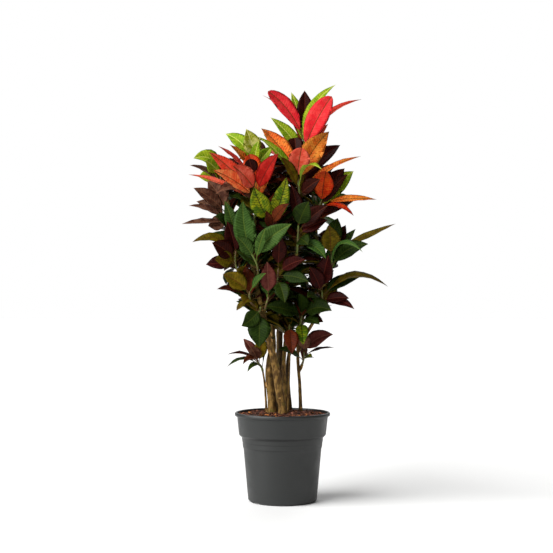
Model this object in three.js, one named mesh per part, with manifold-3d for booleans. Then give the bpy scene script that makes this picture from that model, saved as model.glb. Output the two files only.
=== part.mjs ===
// A potted croton, Codiaeum variegatum: a nursery pot, the bark soil in it, eight woody stems
// with their branches, and a leafy shoot on the end of every branch.
// Millimetres, +Z up, the origin in the middle of the pot's underside, -Y towards the front.

import * as THREE from 'three';
import { mergeVertices } from 'three/addons/utils/BufferGeometryUtils.js';
import Module from 'manifold-3d';

const wasm = await Module();
wasm.setup();

// ---- driving dimensions --------------------------------------------------------------------

const TOUCHING = 0.3; // gap between pieces that touch
const SAME_CORNER = 0.0001; // doubled corners of a geometry lie closer than this
const SLIVER = 0.02; // corners that a union leaves closer than this become one
const POT_SIDES = 32;
const RIM_RADIUS = 136.5;
const RIM_TOP = 254.5;
const COLLAR_FOOT = 184; // underside of the wide collar below the rim
const RIB_BAND = 150; // lowest of the ribs below the collar
const BASE_RADIUS = 93;
const FOOT_HEIGHT = 6; // the floor stands this high between its two foot rings
const FLOOR = 2.5; // thickness of the pot's floor
const DRAIN_HOLES = 6;
const DRAIN_RADIUS = 5;
const DRAIN_CIRCLE = 73;
const DRAIN_SIDES = 8;
const NOTCH_AZIMUTHS = [215, 335, 95];
const NOTCH_WIDTH = 36;
const NOTCH_HEIGHT = 4.6; // of the notches in the pot's outer foot ring
const NOTCH_REACH = 21; // from side to side of that ring

const SOIL_EDGE = 246;
const SOIL_CROWN = 252;
const SOIL_RADIUS = 128.2; // of its upper edge
const SOIL_SMOOTH = 8; // width of the edge that has no lumps
const LUMP_HEIGHT = 1.6;
const STEM_FOOT = 181; // the stems stand in plain holes in the soil, down to here
const STEM_STRAIGHT = 262; // and are upright up to here
const HOLE_ROOM = 0.4;

const STEM_SIDES = 8;
const BRANCH_SIDES = 6;
const BRANCH_FOOT_RADIUS = 5.6;
const BRANCH_END_RADIUS = 4.2;

const SHOOT_SIDES = 5;
const SHOOT_STEPS = 2;
const SHOOT_FOOT_RADIUS = 3.6;
const SHOOT_END_RADIUS = 2.2;
const FIRST_LEAF = 0.97; // place of the youngest leaf on its shoot, 0 at the foot and 1 at the tip
const LAST_LEAF = 0.2;

const PETIOLE_SHARE = 0.17; // of a leaf's whole length, where its row gives no other
const PETIOLE_HALF = 1.3;
const BLADE_HALF = 0.85; // half the blade's thickness at its midrib
const BLADE_FOLD = 0.22; // rise of the blade's edges over its half width
const LEAF_STATIONS = [-1, 0, 0.25, 0.64, 1]; // of its rings: -1 the petiole's foot, 1 the tip

const GOLDEN_ANGLE = 137.5; // between one leaf and the next round a shoot
const FILL_LIFT = 58; // of the highest filling leaf, in degrees above the horizon
const FILL_DROP = 10; // lost by each filling leaf below it
const FILL_SHORTEST = 104;
const FILL_GROWTH = 6;
const FILL_LONGEST = 142;
const FILL_SLENDER = 0.41; // width over length
const FILL_ARCH = 0.08;
const FILL_TURN = 0.4; // turn of a filling leaf's face away from the middle of the plant

const BEND_STEP = 2.6; // degrees, times the square root of the try
const HERO_TRIES = 40;
const FILL_TRIES = 60;
const LEAF_CLEARANCE = 1.6;

// ---- finishes ------------------------------------------------------------------------------

const POT_FINISH = { color: '#43474a', roughness: 0.55, metalness: 0 };
const SOIL_FINISH = { color: '#5a3222', roughness: 0.95, metalness: 0 };
const BARK_FINISH = { color: '#7a5d3f', roughness: 0.85, metalness: 0 };
const LEAF_ROUGHNESS = 0.38;

// ---- the woody stems -----------------------------------------------------------------------
// route: the stem's middle line above the soil, its last point where its own shoot begins.
// branches: each a middle line from inside the stem to the foot of its shoot.

const STEMS = {
  stem_left: {
    foot: [-30, 5],
    radius: [13.8, 5],
    route: [
      [-32, 8, 300], [-37.5, 14, 360], [-34, 22, 405], [-29, 28, 440], [-30, 32, 480],
      [-36, 32, 545], [-42, 30, 620], [-40, 25, 690], [-55, 25, 760], [-75, 15, 830],
      [-85, 10, 880],
    ],
    branches: {
      middle_front: [[-40, 25, 690], [-38, -20, 712], [-35, -52, 729]],
      upper_left_back: [[-40, 25, 690], [-48, 62, 735], [-60, 95, 790], [-66, 104, 828]],
      middle_back: [[-42, 30, 620], [-22, 72, 650], [-8, 100, 682], [-4, 110, 704]],
    },
  },
  stem_front: {
    foot: [0.5, -25],
    radius: [12.6, 6.8],
    route: [
      [-7.5, -26, 303], [-13.5, -27, 349], [-21.5, -28, 392], [-37, -30, 456], [-46, -30, 489],
      [-57, -30, 541], [-70, -30, 596], [-80, -32, 650], [-88, -38, 740], [-80, -45, 800],
    ],
    branches: {
      mauve_left: [[-84, -33, 690], [-110, -25, 720], [-135, -15, 750]],
      far_left: [[-86, -35, 710], [-110, 5, 770], [-140, 18, 820], [-160, 20, 868]],
      left_front: [[-75, -31, 618], [-72, -44, 632], [-70, -52, 644]],
      left: [[-70, -30, 596], [-92, -30, 615], [-115, -30, 640]],
      left_back: [[-80, -32, 650], [-90, 20, 665], [-95, 70, 690]],
      lower_left: [[-58, -30, 544], [-74, -38, 553], [-84, -45, 562]],
      lower_inner: [[-55, -30, 532], [-52, -38, 540], [-50, -46, 548]],
      low_left: [[-50, -30, 508], [-57, -38, 515], [-62, -47, 522]],
    },
  },
  stem_tall: {
    foot: [-14, 53],
    radius: [12, 4.8],
    route: [
      [-11, 57, 340], [-9, 61, 400], [-7, 62, 500], [0, 62, 580], [12, 55, 660],
      [25, 45, 740], [38, 30, 820], [48, 20, 880], [58, 14, 930],
    ],
    branches: {
      upper_front: [[30, 39, 770], [40, 0, 800], [45, -30, 838]],
      middle_right: [[8, 58, 630], [25, 15, 660], [38, -25, 685], [40, -50, 708]],
      inner_front: [[-8, 61, 480], [-8, 20, 520], [-13, -15, 560], [-15, -40, 588]],
      upper_back: [[25, 45, 740], [20, 65, 800], [15, 78, 860], [15, 80, 898]],
      lower_left_back: [[-8, 62, 500], [-20, 80, 525], [-32, 98, 550]],
    },
  },
  stem_right_back: {
    foot: [12, 36],
    radius: [7.2, 4.4],
    route: [[6, 41, 330], [4, 44, 390], [10, 47, 460], [30, 60, 540], [55, 80, 600], [80, 98, 640]],
    branches: {
      lower_right_back: [[19, 51, 490], [33, 70, 505], [45, 85, 516]],
    },
  },
  stem_thin_front: {
    foot: [16, 5],
    radius: [3.4, 3],
    route: [[18, 6, 330], [20, 6, 400], [20, 2, 440]],
    branches: {},
  },
  stem_back: {
    foot: [22, 76],
    radius: [6.2, 4.6],
    route: [
      [18, 76, 304], [15.5, 76, 350], [17, 75, 400], [29, 71, 445], [50, 62, 500], [75, 35, 570],
      [95, 10, 640],
      [100, 0, 700], [95, -15, 780],
    ],
    branches: {
      right: [[80, 29, 585], [100, 5, 603], [120, -18, 622]],
      upper_right_back: [[97, 6, 660], [95, 40, 725], [90, 75, 785], [88, 85, 812]],
    },
  },
  stem_right: {
    foot: [53, 50],
    radius: [5.4, 4.2],
    route: [[50.5, 50, 326], [46, 47, 385], [45, 42, 440], [50, 25, 495]],
    branches: {
      lower_right: [[45, 44, 425], [65, 30, 470], [85, 10, 505], [100, -8, 530]],
      base_right: [[47, 48, 368], [53, 44, 378], [57, 40, 388]],
    },
  },
  stem_thin_left: {
    foot: [-47, 14],
    radius: [3.3, 2.8],
    route: [[-49, 12, 306], [-52, 9, 341], [-57, 3, 372]],
    branches: {},
  },
};

// ---- the leafy shoots ----------------------------------------------------------------------
// tip: the end of the green stem. spin: where its filling leaves start, in degrees.
// fills: how many of them. heroes: the leaves that the front shows one by one, from the
// youngest down, each [x, y, z of its tip, width, arch over its length, turn to the front], and
// its petiole's share of its length where that is not the usual one.

const SHOOTS = {
  crown: {
    on: 'stem_tall', tip: [65, 10, 1022], color: '#d8433b', spin: 20, fills: 2,
    heroes: [
      [-42, 30, 1180, 50, 0.09, 0.85, 0.24],
      [141, -10, 1158, 65, 0.04, 0.92, 0.05],
      [65, 62, 1188, 52, 0.04, 0.7, 0.3],
      [26, 85, 1187, 40, 0.06, 0.6],
      [159, 80, 1203, 38, 0.16, 0.5],
      [230, 45, 1159, 28, 0.16, 0.5],
      [-34, 0, 1099, 40, 0.06, 0.8],
      [15, 95, 1036, 52, 0.06, 0.6],
      [-58, 80, 1177, 18, 0.14, 0.3],
      [134, 60, 1090, 34, 0.06, 0.5],
    ],
  },
  upper_front: {
    on: 'stem_tall', tip: [42, -40, 930], color: '#e0703f', spin: 60, fills: 3,
    heroes: [
      [54, -60, 1005, 62, 0.04, 0.92, 0.04],
      [-61, 0, 1068, 54, 0.06, 0.8],
      [134, 0, 1059, 66, 0.06, 0.88, 0.08],
      [37, -5, 1044, 46, 0.04, 0.9, 0.6],
      [165, 75, 1042, 54, 0.06, 0.7],
      [-72, -105, 1030, 34, 0.1, 0.6],
      [108, -125, 936, 32, 0.35, 0.3],
      [-12, -85, 972, 42, 0.06, 0.6],
      [150, 40, 960, 48, 0.06, 0.6],
      [223, -20, 985, 26, 0.08, 0.5],
      [106, -75, 914, 40, 0.06, 0.8],
    ],
  },
  upper_right: {
    on: 'stem_back', tip: [112, -25, 862], color: '#9a2f2c', spin: 100, fills: 3,
    heroes: [
      [122, -75, 937, 60, 0.05, 0.92, 0.03],
      [267, -30, 861, 28, 0.04, 0.6],
      [201, -50, 813, 32, 0.12, 0.4],
      [175, 35, 964, 54, 0.06, 0.8],
      [187, -15, 935, 46, 0.06, 0.7],
      [208, 62, 952, 58, 0.06, 0.8],
      [205, 30, 861, 50, 0.06, 0.6],
    ],
  },
  upper_left: {
    on: 'stem_left', tip: [-79, 5, 971], color: '#a9bd3a', spin: 60, fills: 3,
    heroes: [
      [-104, -15, 1064, 54, 0.06, 0.8],
      [-166, 60, 1061, 48, 0.12, 0.7],
      [-60, 80, 1040, 48, 0.06, 0.7],
      [-68, -25, 1029, 34, 0.06, 0.7],
      [-151, -15, 1019, 40, 0.06, 0.5],
      [-26, 15, 1019, 42, 0.06, 0.7],
      [-183, -30, 1013, 30, 0.06, 0.4],
    ],
  },
  red_left: {
    on: 'stem_front', tip: [-73, -72, 886], color: '#d8433b', spin: 200, fills: 3,
    heroes: [
      [-96, -60, 985, 52, 0.05, 0.9, 0.25],
      [-138, -140, 944, 56, 0.06, 0.75],
      [-11, -110, 982, 54, 0.06, 0.75],
      [-94, -90, 969, 40, 0.04, 0.9, 0.6],
      [-192, -125, 933, 50, 0.06, 0.7],
      [-208, -60, 992, 46, 0.06, 0.7],
      [-263, -85, 926, 30, 0.06, 0.4],
      [-26, -60, 963, 38, 0.06, 0.8],
      [-183, -120, 877, 50, 0.3, 0.6],
    ],
  },
  far_left: {
    on: 'stem_front', tip: [-182, 30, 950], color: '#a9bd3a', spin: 0, fills: 4,
    heroes: [
      [-257, 20, 984, 52, 0.25, 0.6],
      [-220, -10, 975, 52, 0.06, 0.8],
      [-146, 10, 965, 48, 0.06, 0.8],
      [-242, 15, 930, 50, 0.06, 0.7],
      [-262, -20, 966, 36, 0.06, 0.5],
    ],
  },
  mauve_left: {
    on: 'stem_front', tip: [-160, -20, 830], color: '#7a4a3f', spin: 40, fills: 3,
    heroes: [
      [-215, 0, 917, 56, 0.06, 0.8],
      [-252, -50, 892, 46, 0.06, 0.6],
      [-248, 10, 859, 42, 0.06, 0.6],
      [-266, -40, 843, 38, 0.06, 0.5],
      [-287, -25, 792, 30, 0.03, 0.4],
      [-213, -10, 787, 50, 0.06, 0.7],
      [-190, -70, 810, 40, 0.06, 0.7],
    ],
  },
  left_front: {
    on: 'stem_front', tip: [-90, -80, 708], color: '#3f6b2a', spin: 120, fills: 3,
    heroes: [
      [-111, -80, 853, 64, -0.05, 0.95, 0.05],
      [25, -120, 786, 58, 0.06, 0.9, 0.1],
      [-128, -115, 751, 44, 0.06, 0.85],
      [-47, -145, 773, 28, 0.06, 0.9],
    ],
  },
  middle_front: {
    on: 'stem_left', tip: [-34, -88, 798], color: '#6f8a2e', spin: 80, fills: 4,
    heroes: [
      [-79, -112, 888, 58, -0.06, 0.92, 0.12],
      [11, -90, 919, 50, -0.04, 0.9, 0.08],
      [18, -128, 841, 34, 0.1, 0.8],
      [-48, -120, 823, 26, 0.06, 0.8],
    ],
  },
  middle_right: {
    on: 'stem_tall', tip: [44, -78, 785], color: '#3f6b2a', spin: 10, fills: 3,
    heroes: [
      [73, -120, 848, 56, 0.06, 0.9, 0.08],
      [24, -60, 901, 38, 0.06, 0.85],
      [122, -80, 845, 48, 0.06, 0.8],
      [126, -70, 800, 46, 0.06, 0.7],
      [70, -120, 728, 46, 0.06, 0.8],
      [119, -120, 690, 42, 0.12, 0.5],
    ],
  },
  right: {
    on: 'stem_back', tip: [138, -25, 712], color: '#55632c', spin: 70, fills: 2,
    heroes: [
      [322, -20, 793, 26, 0.01, 0.5],
      [131, -60, 786, 58, 0.06, 0.9],
      [160, 20, 812, 50, 0.1, 0.7],
      [184, 40, 793, 46, 0.06, 0.7],
      [243, -45, 734, 50, 0.14, 0.7],
      [214, 62, 783, 34, 0.06, 0.5],
      [220, -130, 708, 30, 0.4, 0.5],
    ],
  },
  lower_right: {
    on: 'stem_right', tip: [112, -22, 602], color: '#6a3a2c', spin: 30, fills: 4,
    heroes: [
      [130, -60, 702, 54, 0.06, 0.9],
      [74, -70, 668, 48, 0.06, 0.8],
      [221, 10, 640, 42, 0.1, 0.6],
      [300, -30, 613, 42, 0.25, 0.4],
      [188, -50, 580, 38, 0.06, 0.6],
      [196, -70, 553, 28, 0.16, 0.6],
    ],
  },
  left: {
    on: 'stem_front', tip: [-132, -40, 715], color: '#7d5a2c', spin: 150, fills: 3,
    heroes: [
      [-162, -90, 853, 38, 0.08, 0.85, 0.3],
      [-255, -50, 739, 38, 0.22, 0.5],
      [-156, -70, 796, 50, 0.06, 0.8],
      [-198, -80, 736, 54, 0.06, 0.8],
      [-188, -70, 690, 50, 0.06, 0.8],
      [-218, -30, 676, 48, 0.06, 0.6],
    ],
  },
  lower_left: {
    on: 'stem_front', tip: [-92, -60, 600], color: '#5d5a26', spin: 130, fills: 3,
    heroes: [
      [-46, -100, 650, 30, 0.06, 0.6],
      [-168, -70, 648, 54, 0.06, 0.8],
      [-164, -20, 604, 42, 0.2, 0.5],
      [-186, -75, 600, 36, 0.08, 0.4],
      [-108, -90, 567, 42, 0.06, 0.8],
      [-130, -60, 546, 22, 0.06, 0.5],
    ],
  },
  lower_inner: {
    on: 'stem_front', tip: [-40, -66, 584], color: '#6b3326', spin: 90, fills: 3,
    heroes: [
      [-44, -90, 683, 48, 0.06, 0.9],
    ],
  },
  inner_front: {
    on: 'stem_tall', tip: [-12, -65, 665], color: '#6b2b25', spin: 60, fills: 4,
    heroes: [
      [-6, -110, 756, 44, 0.06, 0.8],
      [62, -110, 688, 42, 0.06, 0.7],
      [72, -115, 626, 42, 0.06, 0.8],
      [6, -105, 568, 46, 0.06, 0.8],
    ],
  },
  low_right: {
    on: 'stem_right', tip: [56, -5, 530], color: '#45662a', spin: 50, fills: 3,
    heroes: [
      [138, -70, 545, 56, 0.15, 0.7],
      [-48, -75, 558, 48, 0.06, 0.7],
      [8, -80, 548, 42, 0.06, 0.7],
      [104, -70, 506, 38, 0.06, 0.6],
      [120, -30, 514, 38, 0.06, 0.6],
      [58, -60, 448, 38, 0.06, 0.9],
    ],
  },
  low_left: {
    on: 'stem_front', tip: [-62, -64, 556], color: '#3f6b2a', spin: 170, fills: 2,
    heroes: [
      [-115, -95, 503, 46, -0.08, 0.85],
      [-69, -105, 448, 66, 0.06, 0.95],
    ],
  },
  low_middle: {
    on: 'stem_thin_front', tip: [20, -15, 505], color: '#5a4a2a', spin: 20, fills: 3,
    heroes: [
      [26, -74, 423, 44, 0.06, 0.95],
    ],
  },
  base_right: {
    on: 'stem_right', tip: [62, 30, 425], color: '#4d5a2c', spin: 100, fills: 1,
    heroes: [
      [66, 0, 480, 40, 0.06, 0.8],
      [146, 10, 476, 50, 0.15, 0.7],
      [152, 40, 437, 20, 0.08, 0.3],
      [92, 70, 406, 26, 0.06, 0.3],
      [85, -5, 410, 24, 0.1, 0.5],
      [-19, -45, 442, 30, 0.08, 0.6],
    ],
  },
  base_left: {
    on: 'stem_thin_left', tip: [-73, -6, 398], color: '#5a4a2a', spin: 10, fills: 1,
    heroes: [
      [-113, 20, 464, 30, 0.06, 0.6],
      [-92, -50, 444, 42, 0.06, 0.9],
      [-50, -42, 474, 38, 0.06, 0.8],
      [-157, -20, 420, 24, 0.15, 0.3],
      [-155, -40, 396, 28, 0.2, 0.3],
      [-111, -95, 396, 26, 0.2, 0.5],
      [-99, -50, 372, 18, 0.25, 0.5],
    ],
  },
  upper_back: {
    on: 'stem_tall', tip: [20, 90, 1000], color: '#b9462f', spin: 85, fills: 9, heroes: [],
  },
  upper_left_back: {
    on: 'stem_left', tip: [-70, 110, 912], color: '#9aa838', spin: 50, fills: 9, heroes: [],
  },
  upper_right_back: {
    on: 'stem_back', tip: [90, 108, 895], color: '#9a3a2c', spin: 30, fills: 9, heroes: [],
  },
  left_back: {
    on: 'stem_front', tip: [-112, 98, 772], color: '#6a4038', spin: 20, fills: 9, heroes: [],
  },
  right_back: {
    on: 'stem_right_back', tip: [100, 112, 718], color: '#55632c', spin: 182, fills: 9, heroes: [],
  },
  middle_back: {
    on: 'stem_left', tip: [0, 122, 780], color: '#3f6b2a', spin: 190, fills: 9, heroes: [],
  },
  lower_left_back: {
    on: 'stem_tall', tip: [-46, 112, 622], color: '#4d5a2c', spin: 150, fills: 7, heroes: [],
  },
  lower_right_back: {
    on: 'stem_right_back', tip: [62, 102, 580], color: '#5a4a2a', spin: 95, fills: 7, heroes: [],
  },
};

// ---- solids and meshes ---------------------------------------------------------------------

// The closed solid inside a geometry: doubled corners are merged, and the faces that a pole
// has flattened are left out.
function solidOf(geometry) {
  const loose = geometry.index ? geometry.toNonIndexed() : geometry.clone();
  loose.deleteAttribute('normal');
  loose.deleteAttribute('uv');
  const merged = mergeVertices(loose, SAME_CORNER);
  const corners = merged.index.array;
  const kept = [];
  for (let i = 0; i < corners.length; i += 3) {
    const [a, b, c] = [corners[i], corners[i + 1], corners[i + 2]];
    if (a !== b && b !== c && c !== a) {
      kept.push(a, b, c);
    }
  }
  return new wasm.Manifold(new wasm.Mesh({
    numProp: 3,
    vertProperties: Float32Array.from(merged.attributes.position.array),
    triVerts: Uint32Array.from(kept),
  }));
}

function meshOf(name, solid, finish) {
  const { vertProperties, triVerts } = solid.simplify(SLIVER).getMesh();
  const geometry = new THREE.BufferGeometry();
  geometry.setAttribute('position', new THREE.BufferAttribute(vertProperties, 3));
  geometry.setIndex(new THREE.BufferAttribute(triVerts, 1));
  geometry.computeVertexNormals();
  const mesh = new THREE.Mesh(geometry, new THREE.MeshStandardMaterial(finish));
  mesh.name = name;
  return mesh;
}

function vector(point) {
  return new THREE.Vector3(...point);
}

// A profile of [radius, height] points turned round the Z axis.
function turned(profile) {
  const points = profile.map(([radius, height]) => new THREE.Vector2(radius, height));
  return new THREE.LatheGeometry(points, POT_SIDES).rotateX(Math.PI / 2);
}

// A round bar along a curve: each ring of a cylinder is carried to its place on the curve and
// turned square to it.
function bar(curve, steps, sides, footRadius, endRadius) {
  const shape = new THREE.CylinderGeometry(1, 1, 1, sides, steps);
  const corner = shape.attributes.position;
  for (let i = 0; i < corner.count; i += 1) {
    const share = corner.getY(i) + 0.5;
    const radius = THREE.MathUtils.lerp(footRadius, endRadius, share);
    const along = curve.getTangent(share);
    const side = new THREE.Vector3(1, 0, 0).addScaledVector(along, -along.x).normalize();
    const across = new THREE.Vector3().crossVectors(side, along);
    const place = curve.getPoint(share)
      .addScaledVector(side, corner.getX(i) * radius)
      .addScaledVector(across, corner.getZ(i) * radius);
    corner.setXYZ(i, place.x, place.y, place.z);
  }
  return solidOf(shape);
}

// ---- pot and soil --------------------------------------------------------------------------

const POT_INSIDE = [
  [95, NOTCH_HEIGHT + 4.5], [97.7, 13], [110, RIB_BAND], [114.8, COLLAR_FOOT - 3],
  [123.6, COLLAR_FOOT + 8], [128.3, 242],
];

function makePot() {
  const outside = [
    [0, 0], [58, 0], [61, FOOT_HEIGHT], [84, FOOT_HEIGHT], [87, 0], [BASE_RADIUS, 0], [98.6, 5],
    [112, RIB_BAND], [113.6, RIB_BAND + 5], [116.5, COLLAR_FOOT - 1], [124.5, COLLAR_FOOT + 6],
    [130.3, 243],
  ];
  const rim = [[134.5, 244], [RIM_RADIUS, 248], [135, 253], [132, RIM_TOP], [129.5, 253]];
  const inside = [
    ...POT_INSIDE.toReversed(), [92, NOTCH_HEIGHT + FLOOR], [88.5, NOTCH_HEIGHT + FLOOR],
    [85.5, FOOT_HEIGHT + FLOOR], [59.5, FOOT_HEIGHT + FLOOR], [56.5, FLOOR], [0, FLOOR],
  ];
  let pot = solidOf(turned([...outside, ...rim, ...inside]));
  const holeHeight = 4 * FOOT_HEIGHT;
  for (let i = 0; i < DRAIN_HOLES; i += 1) {
    const azimuth = (i + 0.5) * 2 * Math.PI / DRAIN_HOLES;
    const sizes = [DRAIN_RADIUS, DRAIN_RADIUS, holeHeight, DRAIN_SIDES];
    const drill = new THREE.CylinderGeometry(...sizes).rotateX(Math.PI / 2);
    drill.translate(DRAIN_CIRCLE * Math.cos(azimuth), DRAIN_CIRCLE * Math.sin(azimuth), 0);
    pot = pot.subtract(solidOf(drill));
  }
  for (const azimuth of NOTCH_AZIMUTHS) {
    const notch = new THREE.BoxGeometry(NOTCH_REACH, NOTCH_WIDTH, 2 * NOTCH_HEIGHT);
    notch.translate(BASE_RADIUS, 0, 0);
    notch.rotateZ(THREE.MathUtils.degToRad(azimuth));
    pot = pot.subtract(solidOf(notch));
  }
  return meshOf('pot', pot, POT_FINISH);
}

// Height of the soil at a radius and an azimuth: a low mound with uneven lumps of bark.
function soilHeight(radius, azimuth) {
  const mound = SOIL_CROWN - (SOIL_CROWN - SOIL_EDGE) * (radius / SOIL_RADIUS) ** 2;
  const lumps = Math.sin(3 * azimuth + radius / 9) * Math.cos(2 * azimuth - radius / 13);
  const isLumpy = radius > 1 && radius < SOIL_RADIUS - SOIL_SMOOTH;
  return mound + (isLumpy ? LUMP_HEIGHT * lumps : 0);
}

function makeSoil() {
  const wallRoom = 1.5 * TOUCHING;
  const bottom = FOOT_HEIGHT + FLOOR + TOUCHING;
  const wall = POT_INSIDE.slice(1).map(([radius, height]) => [radius - wallRoom, height]);
  const top = [SOIL_RADIUS, 108, 82, 54, 26, 0].map((radius) => [radius, SOIL_EDGE]);
  const base = [[0, FLOOR + TOUCHING], [56, FLOOR + TOUCHING], [59, bottom], [93.6, bottom]];
  const shape = turned([...base, ...wall, ...top]);
  const corner = shape.attributes.position;
  for (let i = 0; i < corner.count; i += 1) {
    if (corner.getZ(i) > SOIL_EDGE - 0.5) {
      const [x, y] = [corner.getX(i), corner.getY(i)];
      corner.setZ(i, soilHeight(Math.hypot(x, y), Math.atan2(y, x)));
    }
  }
  let soil = solidOf(shape);
  const holeFoot = STEM_FOOT - TOUCHING;
  for (const { foot, radius } of Object.values(STEMS)) {
    const line = new THREE.LineCurve3(vector([...foot, holeFoot]), vector([...foot, STEM_STRAIGHT]));
    soil = soil.subtract(bar(line, 1, STEM_SIDES, radius[0] + HOLE_ROOM, radius[0] + HOLE_ROOM));
  }
  return meshOf('soil', soil, SOIL_FINISH);
}

// ---- wood ----------------------------------------------------------------------------------

// A smooth curve through points, with one ring of the bar at each of them.
function limb(points, sides, footRadius, endRadius) {
  const curve = new THREE.CatmullRomCurve3(points.map(vector), false, 'catmullrom', 0.5);
  return bar(curve, points.length - 1, sides, footRadius, endRadius);
}

// The stem's limbs, each with the place and the heading of the shoot on its end.
function limbsOf(stem) {
  const [x, y] = stem.foot;
  const trunk = [[x, y, STEM_FOOT], [x, y, STEM_STRAIGHT], ...stem.route];
  const limbs = [{ solid: limb(trunk, STEM_SIDES, ...stem.radius), route: stem.route }];
  for (const [shoot, route] of Object.entries(stem.branches)) {
    const solid = limb(route, BRANCH_SIDES, BRANCH_FOOT_RADIUS, BRANCH_END_RADIUS);
    limbs.push({ solid, route, shoot });
  }
  return limbs;
}

function endOf(route) {
  const foot = vector(route.at(-1));
  const heading = foot.clone().sub(vector(route.at(-2))).normalize();
  return { foot, heading };
}

// ---- leaves --------------------------------------------------------------------------------

// Half width of a blade from its foot, 0, to its tip, 1, as a share of its greatest half width.
const WIDEST = 0.2744;
function outline(share) {
  return share ** 0.8 * (1 - share) ** 1.1 / WIDEST;
}

// A leaf's chord turned by an azimuth and a lift, with the direction that its arch rises in.
function posed(leaf, azimuthBend, liftBend) {
  const azimuth = THREE.MathUtils.degToRad(leaf.azimuth + azimuthBend);
  const lift = THREE.MathUtils.degToRad(leaf.lift + liftBend);
  const flat = new THREE.Vector3(Math.cos(azimuth), Math.sin(azimuth), 0);
  const chord = flat.clone().multiplyScalar(Math.cos(lift));
  chord.z = Math.sin(lift);
  const rise = flat.multiplyScalar(-Math.sin(lift));
  rise.z = Math.cos(lift);
  return { ...leaf, chord: chord.multiplyScalar(leaf.length), rise };
}

// Each ring of a four-sided cone is carried to its station along the arched midrib: two corners
// are the blade's edges, raised by the fold, and two are its upper and lower rib. The petiole
// is a straight prism.
function leafSolid(leaf, stations, swell) {
  const steps = stations.length - 1;
  const shape = new THREE.CylinderGeometry(0, 1, 1, 4, steps);
  const corner = shape.attributes.position;
  const crest = 4 * leaf.arch * leaf.length;
  for (let i = 0; i < corner.count; i += 1) {
    const step = Math.round((corner.getY(i) + 0.5) * steps);
    const onBlade = Math.max(0, stations[step]);
    const onPetiole = Math.min(0, stations[step]);
    const share = leaf.petiole * (1 + onPetiole) + (1 - leaf.petiole) * onBlade;
    const cone = 1 - step / steps;
    const edge = cone > 0 ? corner.getX(i) / cone : 0;
    const face = cone > 0 ? corner.getZ(i) / cone : 0;
    const half = swell + Math.max(PETIOLE_HALF, outline(onBlade) * leaf.width / 2);
    const thick = swell + (onBlade > 0 ? BLADE_HALF : PETIOLE_HALF);
    const bendShare = Math.max(leaf.petiole, share);
    const along = leaf.chord.clone().addScaledVector(leaf.rise, crest * (1 - 2 * bendShare));
    along.normalize();
    const normal = leaf.rise.clone().multiplyScalar(1 - leaf.turn);
    normal.addScaledVector(leaf.light, leaf.turn);
    normal.addScaledVector(along, -normal.dot(along)).normalize();
    const side = new THREE.Vector3().crossVectors(along, normal);
    const place = leaf.base.clone()
      .addScaledVector(leaf.chord, share)
      .addScaledVector(leaf.rise, crest * share * (1 - share))
      .addScaledVector(side, edge * half)
      .addScaledVector(normal, face * thick + Math.abs(edge) * BLADE_FOLD * half);
    corner.setXYZ(i, place.x, place.y, place.z);
  }
  return solidOf(shape);
}

const FRONT = new THREE.Vector3(0, -1, 0);

function heroLeaf(base, [x, y, z, width, arch, turn, petiole = PETIOLE_SHARE]) {
  const chord = new THREE.Vector3(x, y, z).sub(base);
  const length = chord.length();
  const azimuth = THREE.MathUtils.radToDeg(Math.atan2(chord.y, chord.x));
  const lift = THREE.MathUtils.radToDeg(Math.asin(chord.z / length));
  return { base, azimuth, lift, length, width, arch, turn, petiole, light: FRONT };
}

// Filling leaves turn by the golden angle, grow longer and sink lower down the shoot, and on a
// shoot with hero leaves they keep to the back.
function fillLeaf(base, shoot, number) {
  const turn = THREE.MathUtils.degToRad(shoot.spin + GOLDEN_ANGLE * number);
  const back = shoot.heroes.length > 0 ? Math.abs(Math.sin(turn)) : Math.sin(turn);
  const azimuth = THREE.MathUtils.radToDeg(Math.atan2(back, Math.cos(turn)));
  const length = Math.min(FILL_LONGEST, FILL_SHORTEST + FILL_GROWTH * number);
  const lift = FILL_LIFT - FILL_DROP * number;
  const width = FILL_SLENDER * length;
  const light = new THREE.Vector3(base.x, base.y, 0).normalize();
  const [arch, petiole] = [FILL_ARCH, PETIOLE_SHARE];
  return { base, azimuth, lift, length, width, arch, turn: FILL_TURN, petiole, light };
}

// ---- placing the leaves clear of everything ------------------------------------------------

const placed = []; // every solid so far: { node, solid, blade, box }

function boxesMeet(a, b) {
  return [0, 1, 2].every((axis) => a.min[axis] <= b.max[axis] && b.min[axis] <= a.max[axis]);
}

function solidsMeet(a, b) {
  if (!boxesMeet(a.boundingBox(), b.boundingBox())) {
    return false;
  }
  const shared = a.intersect(b);
  const meet = !shared.isEmpty();
  shared.delete();
  return meet;
}

// Leaves of one shoot grow together at their feet, so only their blades are kept apart.
function isClear(node, whole, blade) {
  return placed.every((other) => {
    if (other.node !== node) {
      return !solidsMeet(whole, other.solid);
    }
    return !other.blade || !solidsMeet(blade, other.blade);
  });
}

// The leaf is bent a little further from its own direction at each try, until it is clear.
function placeLeaf(node, leaf, tries) {
  const bladeStations = LEAF_STATIONS.filter((station) => station >= 0);
  for (let attempt = 0; attempt <= tries; attempt += 1) {
    const angle = THREE.MathUtils.degToRad(attempt * GOLDEN_ANGLE);
    const reach = BEND_STEP * Math.sqrt(attempt);
    const bent = posed(leaf, reach * Math.cos(angle), reach * Math.sin(angle));
    const whole = leafSolid(bent, LEAF_STATIONS, LEAF_CLEARANCE);
    const blade = leafSolid(bent, bladeStations, LEAF_CLEARANCE);
    const clear = isClear(node, whole, blade);
    whole.delete();
    blade.delete();
    if (clear) {
      const solid = leafSolid(bent, LEAF_STATIONS, 0);
      placed.push({ node, solid, blade: leafSolid(bent, bladeStations, 0) });
      return solid;
    }
  }
  return null;
}

// ---- the whole plant -----------------------------------------------------------------------

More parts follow.
